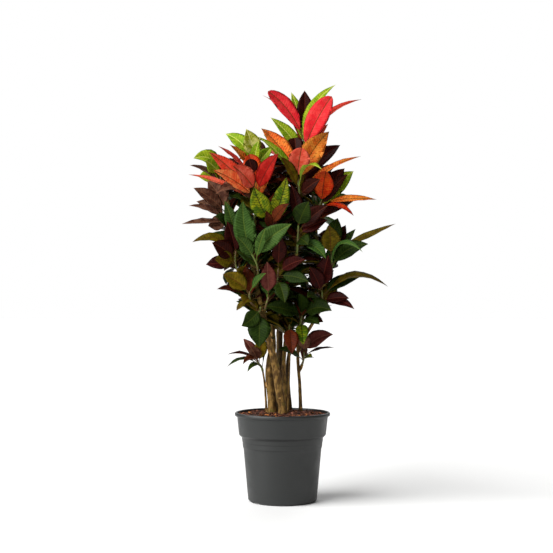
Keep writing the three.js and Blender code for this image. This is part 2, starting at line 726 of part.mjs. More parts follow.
const plant = new THREE.Group();
const potMesh = makePot();
const soilMesh = makeSoil();
plant.add(potMesh, soilMesh);
placed.push({ node: 'pot', solid: solidOf(potMesh.geometry) });
placed.push({ node: 'soil', solid: solidOf(soilMesh.geometry) });

const shootEnds = {};
for (const [name, stem] of Object.entries(STEMS)) {
  const limbs = limbsOf(stem);
  for (const { solid, route, shoot } of limbs) {
    const leader = Object.keys(SHOOTS).find((key) => SHOOTS[key].on === name
      && !(key in stem.branches));
    shootEnds[shoot ?? leader] = endOf(route);
    placed.push({ node: name, solid });
  }
  const wood = limbs.map(({ solid }) => solid).reduce((all, next) => all.add(next));
  plant.add(meshOf(name, wood, BARK_FINISH));
}

for (const [name, shoot] of Object.entries(SHOOTS)) {
  const { foot, heading } = shootEnds[name];
  const start = foot.clone().addScaledVector(heading, TOUCHING);
  const tip = vector(shoot.tip);
  const bend = start.clone().addScaledVector(heading, start.distanceTo(tip) / 2);
  shoot.axis = new THREE.QuadraticBezierCurve3(start, bend, tip);
  shoot.solid = bar(shoot.axis, SHOOT_STEPS, SHOOT_SIDES, SHOOT_FOOT_RADIUS, SHOOT_END_RADIUS);
  shoot.leafCount = shoot.heroes.length + shoot.fills;
  placed.push({ node: name, solid: shoot.solid });
}

// The foot of a leaf, on the straight middle line between two rings of its shoot.
function leafBase(shoot, number) {
  const step = (FIRST_LEAF - LAST_LEAF) / Math.max(1, shoot.leafCount - 1);
  const ring = (FIRST_LEAF - step * number) * SHOOT_STEPS;
  const below = Math.floor(ring);
  const lower = shoot.axis.getPoint(below / SHOOT_STEPS);
  return lower.lerp(shoot.axis.getPoint((below + 1) / SHOOT_STEPS), ring - below);
}

for (const [name, shoot] of Object.entries(SHOOTS)) {
  shoot.heroes.forEach((row, number) => {
    const leaf = placeLeaf(name, heroLeaf(leafBase(shoot, number), row), HERO_TRIES);
    if (leaf) {
      shoot.solid = shoot.solid.add(leaf);
    }
  });
}
for (const [name, shoot] of Object.entries(SHOOTS)) {
  for (let number = 0; number < shoot.fills; number += 1) {
    const base = leafBase(shoot, shoot.heroes.length + number);
    const leaf = placeLeaf(name, fillLeaf(base, shoot, number), FILL_TRIES);
    if (leaf) {
      shoot.solid = shoot.solid.add(leaf);
    }
  }
}
for (const [name, shoot] of Object.entries(SHOOTS)) {
  const finish = { color: shoot.color, roughness: LEAF_ROUGHNESS, metalness: 0 };
  plant.add(meshOf(`shoot_${name}`, shoot.solid, finish));
}

export default plant;
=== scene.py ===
"""Potted croton, Codiaeum variegatum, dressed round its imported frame.

A nursery pot of dark plastic, pine bark soil, eight woody stems and twenty-nine leafy shoots.
Lengths in the tables are millimetres, +Z up, -Y towards the front. The meshes are metres.
"""

import math

import bpy
import numpy as np
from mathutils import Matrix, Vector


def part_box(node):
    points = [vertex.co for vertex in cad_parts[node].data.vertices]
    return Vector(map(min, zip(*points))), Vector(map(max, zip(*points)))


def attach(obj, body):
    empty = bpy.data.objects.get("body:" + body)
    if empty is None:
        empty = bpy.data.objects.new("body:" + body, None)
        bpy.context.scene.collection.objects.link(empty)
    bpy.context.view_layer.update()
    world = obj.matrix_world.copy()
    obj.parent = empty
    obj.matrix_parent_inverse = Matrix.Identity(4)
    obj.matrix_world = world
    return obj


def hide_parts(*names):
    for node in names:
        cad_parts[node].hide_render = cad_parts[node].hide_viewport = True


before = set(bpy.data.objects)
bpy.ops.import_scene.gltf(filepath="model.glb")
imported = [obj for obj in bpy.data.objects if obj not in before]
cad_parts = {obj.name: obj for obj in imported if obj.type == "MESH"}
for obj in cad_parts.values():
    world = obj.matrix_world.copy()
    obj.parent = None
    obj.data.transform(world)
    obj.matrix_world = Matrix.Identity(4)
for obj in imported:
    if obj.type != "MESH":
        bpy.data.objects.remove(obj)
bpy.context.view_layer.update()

bl_info = {
    "name": "Potted Croton",
    "version": (1, 0, 0),
    "blender": (4, 5, 0),
    "location": "3D View > Sidebar > Croton",
    "description": "A croton in its nursery pot, made leaf by leaf",
    "category": "Add Mesh",
}

MM = 0.001
SEED = 7
UP = np.array([0.0, 0.0, 1.0])
FRONT = np.array([0.0, -1.0, 0.0])

# ---- pot and soil, in millimetres ------------------------------------------------------------

POT_SIDES = 128  # of the pot and of the soil
RIM_RADIUS = 136.5
RIM_TOP = 254.5
COLLAR_FOOT = 184  # height where the wide collar begins
RIB_BAND = 150  # height where the band with the two ribs begins
BASE_RADIUS = 93
FOOT_HEIGHT = 6
FLOOR_THICKNESS = 2.5
DRAIN_HOLES = 6
DRAIN_RADIUS = 5
DRAIN_CIRCLE = 73
NOTCH_AZIMUTHS = (215, 335, 95)
NOTCH_WIDTH = 36
NOTCH_HEIGHT = 4.6
NOTCH_REACH = 10  # how far a notch's cutter reaches either side of the foot ring
EDGE_ROUNDING = 2.2  # how far from a corner of the profile its rounding begins
SHARP_EDGE = 40  # degrees past which an edge of the pot shades as a crease
SOIL_EDGE = 246
SOIL_CROWN = 252
SOIL_WALL = 128.2  # radius of the soil where it meets the pot
MOUND_RADIUS = 128  # radius where the mound comes down to its edge
CHIP_SPREAD = 124  # radius that the middles of the chips keep inside
CHIP_SIDES = 6

# ---- stems -----------------------------------------------------------------------------------
# leader: the shoot on the stem's own end. foot and radius: its place in the soil, and its radii at
# the soil and at the end. route: its middle line above the soil. branches: by the shoot that each
# carries, a middle line from inside the stem to the foot of that shoot.

STEM_FOOT = 181  # height of the stems' feet in the soil
STEM_STRAIGHT = 262  # height up to which they stand upright
THICK_STEM = 8  # a stem with a larger radius than this has more sides
THICK_SIDES, THIN_SIDES, BRANCH_SIDES = 20, 12, 10
BRANCH_RADIUS = (5.6, 4.2)
KNOT_SPACING = 26
KNOT_SCAR = 0.4  # a knot shows a scar where it is higher than this share
YOUNG_WOOD = (420, 800)  # heights between which the bark turns young and green
STEMS_IN_PAINTED_SHADE = (48, 54)  # places from front to back between which painted shade darkens the bark of the stems behind
TOUCHING = 0.3  # gap at which two of the frame's nodes count as joined
SHOOT_RADIUS = (3.6, 2.2)

STEMS = {
    "stem_left": {
        "leader": "upper_left",
        "foot": (-30, 5),
        "radius": (13.8, 5),
        "route": [
            (-32, 8, 300), (-37.5, 14, 360), (-34, 22, 405), (-29, 28, 440), (-30, 32, 480),
            (-36, 32, 545), (-42, 30, 620), (-40, 25, 690), (-55, 25, 760), (-75, 15, 830),
            (-85, 10, 880),
        ],
        "branches": {
            "middle_front": [(-40, 25, 690), (-38, -20, 712), (-35, -52, 729)],
            "upper_left_back": [(-40, 25, 690), (-48, 62, 735), (-60, 95, 790), (-66, 104, 828)],
            "middle_back": [(-42, 30, 620), (-22, 72, 650), (-8, 100, 682), (-4, 110, 704)],
        },
    },
    "stem_front": {
        "leader": "red_left",
        "foot": (0.5, -25),
        "radius": (12.6, 6.8),
        "route": [
            (-7.5, -26, 303), (-13.5, -27, 349), (-21.5, -28, 392), (-37, -30, 456), (-46, -30, 489),
            (-57, -30, 541), (-70, -30, 596), (-80, -32, 650), (-88, -38, 740), (-80, -45, 800),
        ],
        "branches": {
            "mauve_left": [(-84, -33, 690), (-110, -25, 720), (-135, -15, 750)],
            "far_left": [(-86, -35, 710), (-110, 5, 770), (-140, 18, 820), (-160, 20, 868)],
            "left_front": [(-75, -31, 618), (-72, -44, 632), (-70, -52, 644)],
            "left": [(-70, -30, 596), (-92, -30, 615), (-115, -30, 640)],
            "left_back": [(-80, -32, 650), (-90, 20, 665), (-95, 70, 690)],
            "lower_left": [(-58, -30, 544), (-74, -38, 553), (-84, -45, 562)],
            "lower_inner": [(-55, -30, 532), (-52, -38, 540), (-50, -46, 548)],
            "low_left": [(-50, -30, 508), (-57, -38, 515), (-62, -47, 522)],
        },
    },
    "stem_tall": {
        "leader": "crown",
        "foot": (-14, 53),
        "radius": (12, 4.8),
        "route": [
            (-11, 57, 340), (-9, 61, 400), (-7, 62, 500), (0, 62, 580), (12, 55, 660), (25, 45, 740),
            (38, 30, 820), (48, 20, 880), (58, 14, 930),
        ],
        "branches": {
            "upper_front": [(30, 39, 770), (40, 0, 800), (45, -30, 838)],
            "middle_right": [(8, 58, 630), (25, 15, 660), (38, -25, 685), (40, -50, 708)],
            "inner_front": [(-8, 61, 480), (-8, 20, 520), (-13, -15, 560), (-15, -40, 588)],
            "upper_back": [(25, 45, 740), (20, 65, 800), (15, 78, 860), (15, 80, 898)],
            "lower_left_back": [(-8, 62, 500), (-20, 80, 525), (-32, 98, 550)],
        },
    },
    "stem_right_back": {
        "leader": "right_back",
        "foot": (12, 36),
        "radius": (7.2, 4.4),
        "route": [(6, 41, 330), (4, 44, 390), (10, 47, 460), (30, 60, 540), (55, 80, 600), (80, 98, 640)],
        "branches": {
            "lower_right_back": [(19, 51, 490), (33, 70, 505), (45, 85, 516)],
        },
    },
    "stem_thin_front": {
        "leader": "low_middle",
        "foot": (16, 5),
        "radius": (3.4, 3),
        "route": [(18, 6, 330), (20, 6, 400), (20, 2, 440)],
        "branches": {},
    },
    "stem_back": {
        "leader": "upper_right",
        "foot": (22, 76),
        "radius": (6.2, 4.6),
        "route": [
            (18, 76, 304), (15.5, 76, 350), (17, 75, 400), (29, 71, 445), (50, 62, 500), (75, 35, 570),
            (95, 10, 640), (100, 0, 700), (95, -15, 780),
        ],
        "branches": {
            "right": [(80, 29, 585), (100, 5, 603), (120, -18, 622)],
            "upper_right_back": [(97, 6, 660), (95, 40, 725), (90, 75, 785), (88, 85, 812)],
        },
    },
    "stem_right": {
        "leader": "low_right",
        "foot": (53, 50),
        "radius": (5.4, 4.2),
        "route": [(50.5, 50, 326), (46, 47, 385), (45, 42, 440), (50, 25, 495)],
        "branches": {
            "lower_right": [(45, 44, 425), (65, 30, 470), (85, 10, 505), (100, -8, 530)],
            "base_right": [(47, 48, 368), (53, 44, 378), (57, 40, 388)],
        },
    },
    "stem_thin_left": {
        "leader": "base_left",
        "foot": (-47, 14),
        "radius": (3.3, 2.8),
        "route": [(-49, 12, 306), (-52, 9, 341), (-57, 3, 372)],
        "branches": {},
    },
}

# ---- leaves ----------------------------------------------------------------------------------
# A leaf row: x, y, z of its tip, width, arch over its length, turn of its face to the front, its
# finish, and its petiole's share of its length where that isn't PETIOLE_SHARE.

FIRST_LEAF, LAST_LEAF = 0.97, 0.2  # places of the youngest and the oldest leaf on a shoot
PETIOLE_SHARE = 0.17
PETIOLE_RADIUS = 1.15
GOLDEN_ANGLE = 137.5
FILL_LIFT, FILL_DROP = 58, 10  # degrees: of a shoot's first filling leaf, and less for each next
FILL_SHORTEST, FILL_GROWTH, FILL_LONGEST = 104, 6, 142
FILL_SLENDER, FILL_ARCH, FILL_TURN = 0.41, 0.08, 0.4  # width over length, arch and turn
BEND_STEP = 2.6  # degrees, times the root of the try's number
MOST_TRIES = 60
TIP_ROOM = 0.3  # a leaf of the frame ends this near to the tip that its try gives
FOOT_POWER, TIP_POWER = 0.8, 1.1  # exponents of a blade's outline at its foot and its tip
BLUNT = 0.5  # taken from the tip's exponent on a leaf whose tip is folded back
TWIST = 0.16  # how much leaves turn about their midribs, in radians

# Places of a leaf's rings, from -1 at its foot by 0 where its blade begins to 1 at its tip, and
# of the corners across it, -1 and 1 its edges.
FINE_STATIONS = (-1, -0.6, -0.25, 0, 0.04, 0.11, 0.21, 0.33, 0.46, 0.6, 0.73, 0.84, 0.92, 0.97, 1)
FINE_ACROSS = (1, 0.66, 0.12, 0, -0.12, -0.66, -1)
PLAIN_STATIONS = (-1, -0.4, 0.03, 0.2, 0.42, 0.66, 0.87, 1)
PLAIN_ACROSS = (1, 0.5, 0, -0.5, -1)

# Which finishes the leaves of the back and the middle have, from the top of the plant down.
FILL_TINTS = (
    (900, ("red", "orange", "lime", "coral", "maroon", "rust")),
    (740, ("mauve", "maroon", "moss", "green", "rust", "olive")),
    (500, ("moss", "olive", "maroon", "green", "rust")),
    (0, ("moss", "olive", "rust")),
)

# Leaves added inside the plant, in its shade.
INNER_MIDDLE = (-15, 25)  # where they lean to
INNER_PLACES = (0.03, 0.8)  # their feet's shares of a shoot's length
INNER_SWING = 65  # how widely they spread round that lean, in degrees
INNER_LIFTS = (-30, 45)
INNER_LENGTHS = (85, 125)
INNER_ARCH = 0.1
INNER_DRAWN = 20  # how many are drawn for each that is kept
INNER_ROOM = 30  # how far they stay from the leaves shown in front of them
INNER_LOWEST = 480
INNER_NECK = 60  # their reach either side of the middle at the lowest
INNER_WIDENING = 0.75  # and how much more it is for each millimetre higher
INNER_REACH = 165  # and the most that it is
INNER_SEEN = (1, 0.35, 1)  # weights of the three axes when hollows are looked for
# Their finishes are the darkest ones, partly painted shade: the leaves stand in the plant's shaded middle.
INNER_TINTS = (
    (850, ("maroon", "moss", "maroon", "rust", "olive")),
    (0, ("moss", "maroon", "moss", "olive")),
)


def leafy(slot, tip, spin, fills, *leaves):
    """A shoot: its material slot, which is not used, its tip, the turn of its first filling leaf, how many
    of those it is given, and the rows of its shown leaves."""
    return {"slot": slot, "tip": tip, "spin": spin, "fills": fills, "leaves": leaves}


SHOOTS = {
    "crown": leafy("leaf_red", (65, 10, 1022), 20, 2,
        (-42, 30, 1180, 50, 0.09, 0.85, "red_blunt", 0.24),
        (141, -10, 1158, 65, 0.04, 0.92, "red_blunt", 0.05),
        (65, 62, 1188, 52, 0.04, 0.7, "maroon", 0.3), (26, 85, 1187, 40, 0.06, 0.6, "lime"),
        (159, 80, 1203, 38, 0.16, 0.5, "lime"), (230, 45, 1159, 28, 0.16, 0.5, "red"),
        (-34, 0, 1099, 40, 0.06, 0.8, "lime"), (15, 95, 1036, 52, 0.06, 0.6, "maroon"),
        (-58, 80, 1177, 18, 0.14, 0.3, "coral"), (134, 60, 1090, 34, 0.06, 0.5, "coral"),
    ),
    "upper_front": leafy("leaf_orange", (42, -40, 930), 60, 3,
        (54, -60, 1005, 62, 0.04, 0.92, "coral_blunt", 0.04), (-61, 0, 1068, 54, 0.06, 0.8, "orange"),
        (134, 0, 1059, 66, 0.06, 0.88, "orange", 0.08),
        (37, -5, 1044, 46, 0.04, 0.9, "maroon_blunt", 0.6), (165, 75, 1042, 54, 0.06, 0.7, "maroon"),
        (-72, -105, 1030, 34, 0.1, 0.6, "lime"), (108, -125, 936, 32, 0.35, 0.3, "lime"),
        (-12, -85, 972, 42, 0.06, 0.6, "olive"), (150, 40, 960, 48, 0.06, 0.6, "maroon"),
        (223, -20, 985, 26, 0.08, 0.5, "orange"), (106, -75, 914, 40, 0.06, 0.8, "maroon"),
    ),
    "upper_right": leafy("leaf_red", (112, -25, 862), 100, 3,
        (122, -75, 937, 60, 0.05, 0.92, "flame_blunt", 0.03), (267, -30, 861, 28, 0.04, 0.6, "orange"),
        (201, -50, 813, 32, 0.12, 0.4, "flame"), (175, 35, 964, 54, 0.06, 0.8, "maroon"),
        (187, -15, 935, 46, 0.06, 0.7, "maroon"), (208, 62, 952, 58, 0.06, 0.8, "lime"),
        (205, 30, 861, 50, 0.06, 0.6, "maroon"),
    ),
    "upper_left": leafy("leaf_lime", (-79, 5, 971), 60, 3,
        (-104, -15, 1064, 54, 0.06, 0.8, "cream"), (-166, 60, 1061, 48, 0.12, 0.7, "lime"),
        (-60, 80, 1040, 48, 0.06, 0.7, "maroon"), (-68, -25, 1029, 34, 0.06, 0.7, "lime"),
        (-151, -15, 1019, 40, 0.06, 0.5, "orange"), (-26, 15, 1019, 42, 0.06, 0.7, "lime"),
        (-183, -30, 1013, 30, 0.06, 0.4, "coral"),
    ),
    "red_left": leafy("leaf_red", (-73, -72, 886), 200, 3,
        (-96, -60, 985, 52, 0.05, 0.9, "flame_blunt", 0.25), (-138, -140, 944, 56, 0.06, 0.75, "coral"),
        (-11, -110, 982, 54, 0.06, 0.75, "crimson"), (-94, -90, 969, 40, 0.04, 0.9, "maroon_blunt", 0.6),
        (-192, -125, 933, 50, 0.06, 0.7, "salmon"), (-208, -60, 992, 46, 0.06, 0.7, "red"),
        (-263, -85, 926, 30, 0.06, 0.4, "coral"), (-26, -60, 963, 38, 0.06, 0.8, "orange"),
        (-183, -120, 877, 50, 0.3, 0.6, "mauve"),
    ),
    "far_left": leafy("leaf_lime", (-182, 30, 950), 0, 4,
        (-257, 20, 984, 52, 0.25, 0.6, "lime"), (-220, -10, 975, 52, 0.06, 0.8, "lime"),
        (-146, 10, 965, 48, 0.06, 0.8, "maroon"), (-242, 15, 930, 50, 0.06, 0.7, "lime"),
        (-262, -20, 966, 36, 0.06, 0.5, "mauve"),
    ),
    "mauve_left": leafy("leaf_maroon", (-160, -20, 830), 40, 3,
        (-215, 0, 917, 56, 0.06, 0.8, "mauve"), (-252, -50, 892, 46, 0.06, 0.6, "mauve"),
        (-248, 10, 859, 42, 0.06, 0.6, "mauve"), (-266, -40, 843, 38, 0.06, 0.5, "mauve"),
        (-287, -25, 792, 30, 0.03, 0.4, "mauve"), (-213, -10, 787, 50, 0.06, 0.7, "mauve"),
        (-190, -70, 810, 40, 0.06, 0.7, "green"),
    ),
    "left_front": leafy("leaf_green", (-90, -80, 708), 120, 3,
        (-111, -80, 853, 64, -0.05, 0.95, "green", 0.05), (25, -120, 786, 58, 0.06, 0.9, "green", 0.1),
        (-128, -115, 751, 44, 0.06, 0.85, "green"), (-47, -145, 773, 28, 0.06, 0.9, "green"),
    ),
    "middle_front": leafy("leaf_lime", (-34, -88, 798), 80, 4,
        (-79, -112, 888, 58, -0.06, 0.92, "mottled", 0.12),
        (11, -90, 919, 50, -0.04, 0.9, "mottled", 0.08), (18, -128, 841, 34, 0.1, 0.8, "rust"),
        (-48, -120, 823, 26, 0.06, 0.8, "rust"),
    ),
    "middle_right": leafy("leaf_green", (44, -78, 785), 10, 3,
        (73, -120, 848, 56, 0.06, 0.9, "moss", 0.08), (24, -60, 901, 38, 0.06, 0.85, "maroon"),
        (122, -80, 845, 48, 0.06, 0.8, "maroon"), (126, -70, 800, 46, 0.06, 0.7, "maroon"),
        (70, -120, 728, 46, 0.06, 0.8, "moss"), (119, -120, 690, 42, 0.12, 0.5, "green"),
    ),
    "right": leafy("leaf_olive", (138, -25, 712), 70, 2,
        (322, -20, 793, 26, 0.01, 0.5, "olive"), (131, -60, 786, 58, 0.06, 0.9, "olive"),
        (160, 20, 812, 50, 0.1, 0.7, "moss"), (184, 40, 793, 46, 0.06, 0.7, "maroon"),
        (243, -45, 734, 50, 0.14, 0.7, "moss"), (214, 62, 783, 34, 0.06, 0.5, "green"),
        (220, -130, 708, 30, 0.4, 0.5, "green"),
    ),
    "lower_right": leafy("leaf_maroon", (112, -22, 602), 30, 4,
        (130, -60, 702, 54, 0.06, 0.9, "maroon"), (74, -70, 668, 48, 0.06, 0.8, "maroon"),
        (221, 10, 640, 42, 0.1, 0.6, "moss"), (300, -30, 613, 42, 0.25, 0.4, "olive"),
        (188, -50, 580, 38, 0.06, 0.6, "maroon"), (196, -70, 553, 28, 0.16, 0.6, "maroon"),
    ),
    "left": leafy("leaf_olive", (-132, -40, 715), 150, 3,
        (-162, -90, 853, 38, 0.08, 0.85, "green", 0.3), (-255, -50, 739, 38, 0.22, 0.5, "olive"),
        (-156, -70, 796, 50, 0.06, 0.8, "maroon"), (-198, -80, 736, 54, 0.06, 0.8, "maroon"),
        (-188, -70, 690, 50, 0.06, 0.8, "olive"), (-218, -30, 676, 48, 0.06, 0.6, "maroon"),
    ),
    "lower_left": leafy("leaf_olive", (-92, -60, 600), 130, 3,
        (-46, -100, 650, 30, 0.06, 0.6, "green"), (-168, -70, 648, 54, 0.06, 0.8, "olive"),
        (-164, -20, 604, 42, 0.2, 0.5, "moss"), (-186, -75, 600, 36, 0.08, 0.4, "maroon"),
        (-108, -90, 567, 42, 0.06, 0.8, "olive"), (-130, -60, 546, 22, 0.06, 0.5, "olive"),
    ),
    "lower_inner": leafy("leaf_maroon", (-40, -66, 584), 90, 3,
        (-44, -90, 683, 48, 0.06, 0.9, "rosy"),
    ),
    "inner_front": leafy("leaf_maroon", (-12, -65, 665), 60, 4,
        (-6, -110, 756, 44, 0.06, 0.8, "maroon"), (62, -110, 688, 42, 0.06, 0.7, "maroon"),
        (72, -115, 626, 42, 0.06, 0.8, "moss"), (6, -105, 568, 46, 0.06, 0.8, "moss"),
    ),
    "low_right": leafy("leaf_green", (56, -5, 530), 50, 3,
        (138, -70, 545, 56, 0.15, 0.7, "moss"), (-48, -75, 558, 48, 0.06, 0.7, "moss"),
        (8, -80, 548, 42, 0.06, 0.7, "moss"), (104, -70, 506, 38, 0.06, 0.6, "moss"),
        (120, -30, 514, 38, 0.06, 0.6, "maroon"), (58, -60, 448, 38, 0.06, 0.9, "mottled"),
    ),
    "low_left": leafy("leaf_green", (-62, -64, 556), 170, 2,
        (-115, -95, 503, 46, -0.08, 0.85, "moss"), (-69, -105, 448, 66, 0.06, 0.95, "moss"),
    ),
    "low_middle": leafy("leaf_olive", (20, -15, 505), 20, 3,
        (26, -74, 423, 44, 0.06, 0.95, "rust"),
    ),
    "base_right": leafy("leaf_olive", (62, 30, 425), 100, 1,
        (66, 0, 480, 40, 0.06, 0.8, "mauve"), (146, 10, 476, 50, 0.15, 0.7, "rosy"),
        (152, 40, 437, 20, 0.08, 0.3, "maroon"), (92, 70, 406, 26, 0.06, 0.3, "moss"),
        (85, -5, 410, 24, 0.1, 0.5, "mottled"), (-19, -45, 442, 30, 0.08, 0.6, "moss"),
    ),
    "base_left": leafy("leaf_olive", (-73, -6, 398), 10, 1,
        (-113, 20, 464, 30, 0.06, 0.6, "rosy"), (-92, -50, 444, 42, 0.06, 0.9, "mauve"),
        (-50, -42, 474, 38, 0.06, 0.8, "olive"), (-157, -20, 420, 24, 0.15, 0.3, "maroon"),
        (-155, -40, 396, 28, 0.2, 0.3, "moss"), (-111, -95, 396, 26, 0.2, 0.5, "rust"),
        (-99, -50, 372, 18, 0.25, 0.5, "moss"),
    ),
    "upper_back": leafy("leaf_red", (20, 90, 1000), 85, 9),
    "upper_left_back": leafy("leaf_lime", (-70, 110, 912), 50, 9),
    "upper_right_back": leafy("leaf_red", (90, 108, 895), 30, 9),
    "left_back": leafy("leaf_maroon", (-112, 98, 772), 20, 9),
    "right_back": leafy("leaf_olive", (100, 112, 718), 182, 9),
    "middle_back": leafy("leaf_green", (0, 122, 780), 190, 9),
    "lower_left_back": leafy("leaf_olive", (-46, 112, 622), 150, 7),
    "lower_right_back": leafy("leaf_olive", (62, 102, 580), 95, 7),
}

# ---- small tools -----------------------------------------------------------------------------


def linear(code):
    """The scene-linear red, green and blue of an sRGB hex code such as #43474a."""
    parts = np.array([int(code[i : i + 2], 16) for i in (1, 3, 5)]) / 255
    return tuple(np.where(parts <= 0.04045, parts / 12.92, ((parts + 0.055) / 1.055) ** 2.4))


def unit(vectors):
    """Each vector over its own length."""
    return vectors / np.linalg.norm(vectors, axis=-1, keepdims=True)


def ramp_up(value, low, high):
    """0 below low, 1 above high and a smooth step 3s^2 - 2s^3 between them."""
    share = np.clip((value - low) / (high - low), 0, 1)
    return share * share * (3 - 2 * share)


def mixed(low, high, share):
    """low where share is 0, high where it is 1 and a straight line between them."""
    return low + (high - low) * share


# ---- surfaces --------------------------------------------------------------------------------


def loft(rings, **values):
    """Closed tubes from rings[tube, ring, corner] of points.

    Corners run anticlockwise seen against the direction of travel. Neighbouring rings are joined
    by quads and each end is closed by one flat face. values are numbers for every point.
    """
    tubes, count, sides = rings.shape[:3]
    one = np.arange(count * sides).reshape(count, sides)
    turned = np.roll(one, -1, axis=1)
    quads = np.stack([one[:-1], turned[:-1], turned[1:], one[1:]], axis=-1).reshape(-1, 4)
    starts = np.arange(tubes)[:, None, None] * count * sides
    faces = (starts + quads).reshape(-1, 4).tolist()
    faces += (starts[:, :, 0] + one[0][::-1]).tolist()
    faces += (starts[:, :, 0] + one[-1]).tolist()
    flat = {
        name: np.broadcast_to(value, (*rings.shape[:3], value.shape[-1])).reshape(-1, value.shape[-1])
        for name, value in values.items()
    }
    return {"points": rings.reshape(-1, 3), "faces": faces, "values": flat}


def smooth_path(points, steps):
    """A smooth curve through points, steps places to each span.

    In a span from b to c, with neighbours a and d, the place at s is the cubic with ends b and c
    and end slopes (c - a) / 2 and (d - b) / 2.
    """
    points = np.asarray(points, float)
    padded = np.vstack([2 * points[0] - points[1], points, 2 * points[-1] - points[-2]])
    places = np.linspace(0, len(points) - 1, (len(points) - 1) * steps + 1)
    span = np.minimum(places.astype(int), len(points) - 2)
    s = (places - span)[:, None]
    a, b, c, d = (padded[span + k] for k in range(4))
    slope_b, slope_c = (c - a) / 2, (d - b) / 2
    bent = (2 * b - 2 * c + slope_b + slope_c) * s**3 + (3 * c - 3 * b - 2 * slope_b - slope_c) * s**2
    return bent + slope_b * s + b


def tube(path, radii, angles):
    """Rings round a path: path + side r cos(angle) + across r sin(angle), square to the path.

    radii[ring, corner] may differ at every corner. side is the X axis made square to the path.
    """
    along = unit(np.gradient(path, axis=0))
    side = unit(np.array([1.0, 0, 0]) - along * along[:, :1])
    across = np.cross(along, side)
    cos, sin = np.cos(angles)[None, :, None], np.sin(angles)[None, :, None]
    return path[:, None] + radii[..., None] * (side[:, None] * cos + across[:, None] * sin)


def rounded(profile, reach, steps=3):
    """A profile with each inner corner p replaced by the quadratic curve that starts and ends
    reach before and after it, or 0.4 of the shorter side, and has p as its middle control."""
    profile = np.asarray(profile, float)
    before, corner, after = profile[:-2], profile[1:-1], profile[2:]
    back, on = before - corner, after - corner
    sides = np.stack([np.linalg.norm(back, axis=1), np.linalg.norm(on, axis=1)])
    room = np.minimum(reach, 0.4 * sides.min(axis=0))[:, None]
    start, end = corner + unit(back) * room, corner + unit(on) * room
    s = np.linspace(0, 1, steps + 1)[None, :, None]
    curve = start[:, None] * (1 - s) ** 2 + corner[:, None] * 2 * s * (1 - s) + end[:, None] * s**2
    return np.vstack([profile[:1], curve.reshape(-1, 2), profile[-1:]])


def turned(sides):
    """Angles of sides corners, equally spaced round a circle."""
    return np.linspace(0, 2 * np.pi, sides, endpoint=False)


def disc(middle, radius, sides):
    """Corners of a circle: middle + radius (cos a, sin a)."""
    angle = turned(sides)
    return np.asarray(middle) + radius * np.c_[np.cos(angle), np.sin(angle)]


def revolved(profile, sides):
    """Rings of a profile of (radius, height) turned round Z: (r cos a, r sin a, h)."""
    angle = turned(sides)
    radius, height = profile[:, :1], profile[:, 1:]
    ring = np.stack([radius * np.cos(angle), radius * np.sin(angle), height + 0 * angle], axis=-1)
    return ring[None]


def made_object(name, parts, materials, flat=False):
    """One mesh object, in metres, from lofted parts. A part's material is a slot number."""
    points = np.vstack([part["points"] for part in parts]) * MM
    starts = np.cumsum([0] + [len(part["points"]) for part in parts])
    faces = [[k + start for k in face] for part, start in zip(parts, starts) for face in part["faces"]]
    mesh = bpy.data.meshes.new(name)
    mesh.from_pydata(points.tolist(), [], faces)
    mesh.polygons.foreach_set(
        "material_index",
        np.concatenate([np.broadcast_to(part.get("material", 0), len(part["faces"])) for part in parts]),
    )
    for key in sorted({key for part in parts for key in part["values"]}):
        rows = [part["values"].get(key, np.zeros((len(part["points"]), 3))) for part in parts]
        mesh.attributes.new(key, "FLOAT_VECTOR", "POINT").data.foreach_set(
            "vector", np.vstack(rows).astype(np.float32).ravel()
        )
    for material in materials:
        mesh.materials.append(material)
    mesh.polygons.foreach_set("use_smooth", [not flat] * len(mesh.polygons))
    mesh.update()
    made = bpy.data.objects.new(name, mesh)
    bpy.context.scene.collection.objects.link(made)
    return made


def carved(piece, cutters, name):
    """The piece, smooth, with the cutters, lofted parts, cut out of it."""
    tool = made_object(name, cutters, [])
    cut = piece.modifiers.new(name, "BOOLEAN")
    cut.operation = "DIFFERENCE"
    cut.solver = "EXACT"
    cut.object = tool
    graph = bpy.context.evaluated_depsgraph_get()
    whole = bpy.data.meshes.new_from_object(piece.evaluated_get(graph))
    piece.modifiers.clear()
    old, piece.data = piece.data, whole
    bpy.data.meshes.remove(old)
    bpy.data.meshes.remove(tool.data)
    whole.polygons.foreach_set("use_smooth", [True] * len(whole.polygons))


def settled(piece, stands_for):
    """The piece rides with the body and stands for its CAD node."""
    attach(piece, "root")
    if stands_for:
        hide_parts(stands_for)


# ---- finishes --------------------------------------------------------------------------------


# What a node of a kind has here, unless it is given another.
KIND_SETTINGS = {"MapRange": {"interpolation_type": "SMOOTHSTEP"}, "Mix": {"data_type": "RGBA"}}
KIND_INPUTS = {"TexNoise": {"Detail": 3, "Roughness": 0.55}}


def node(tree, kind, inputs, **settings):
    """Adds a node with its settings and links, and gives its outputs.

    inputs are in the node's own order, or by their names or numbers. Each is a number, a colour,
    a hex code or the socket that is linked to it. A Map Range is (value, low, high, at low, at
    high), with a smooth step between the two. A Mix has its share as 0, and lays 7 over 6.
    """
    made = tree.nodes.new("ShaderNode" + kind)
    for key, value in {**KIND_SETTINGS.get(kind, {}), **settings}.items():
        setattr(made, key, value)
    given = inputs if isinstance(inputs, dict) else dict(enumerate(inputs))
    for key, value in {**KIND_INPUTS.get(kind, {}), **given}.items():
        if isinstance(value, bpy.types.NodeSocket):
            tree.links.new(value, made.inputs[key])
        else:
            made.inputs[key].default_value = (*linear(value), 1) if isinstance(value, str) else value
    return made.outputs


def new_material(name):
    """A new material and its empty node tree."""
    material = bpy.data.materials.new(name)
    material.use_nodes = True
    material.node_tree.nodes.clear()
    return material, material.node_tree


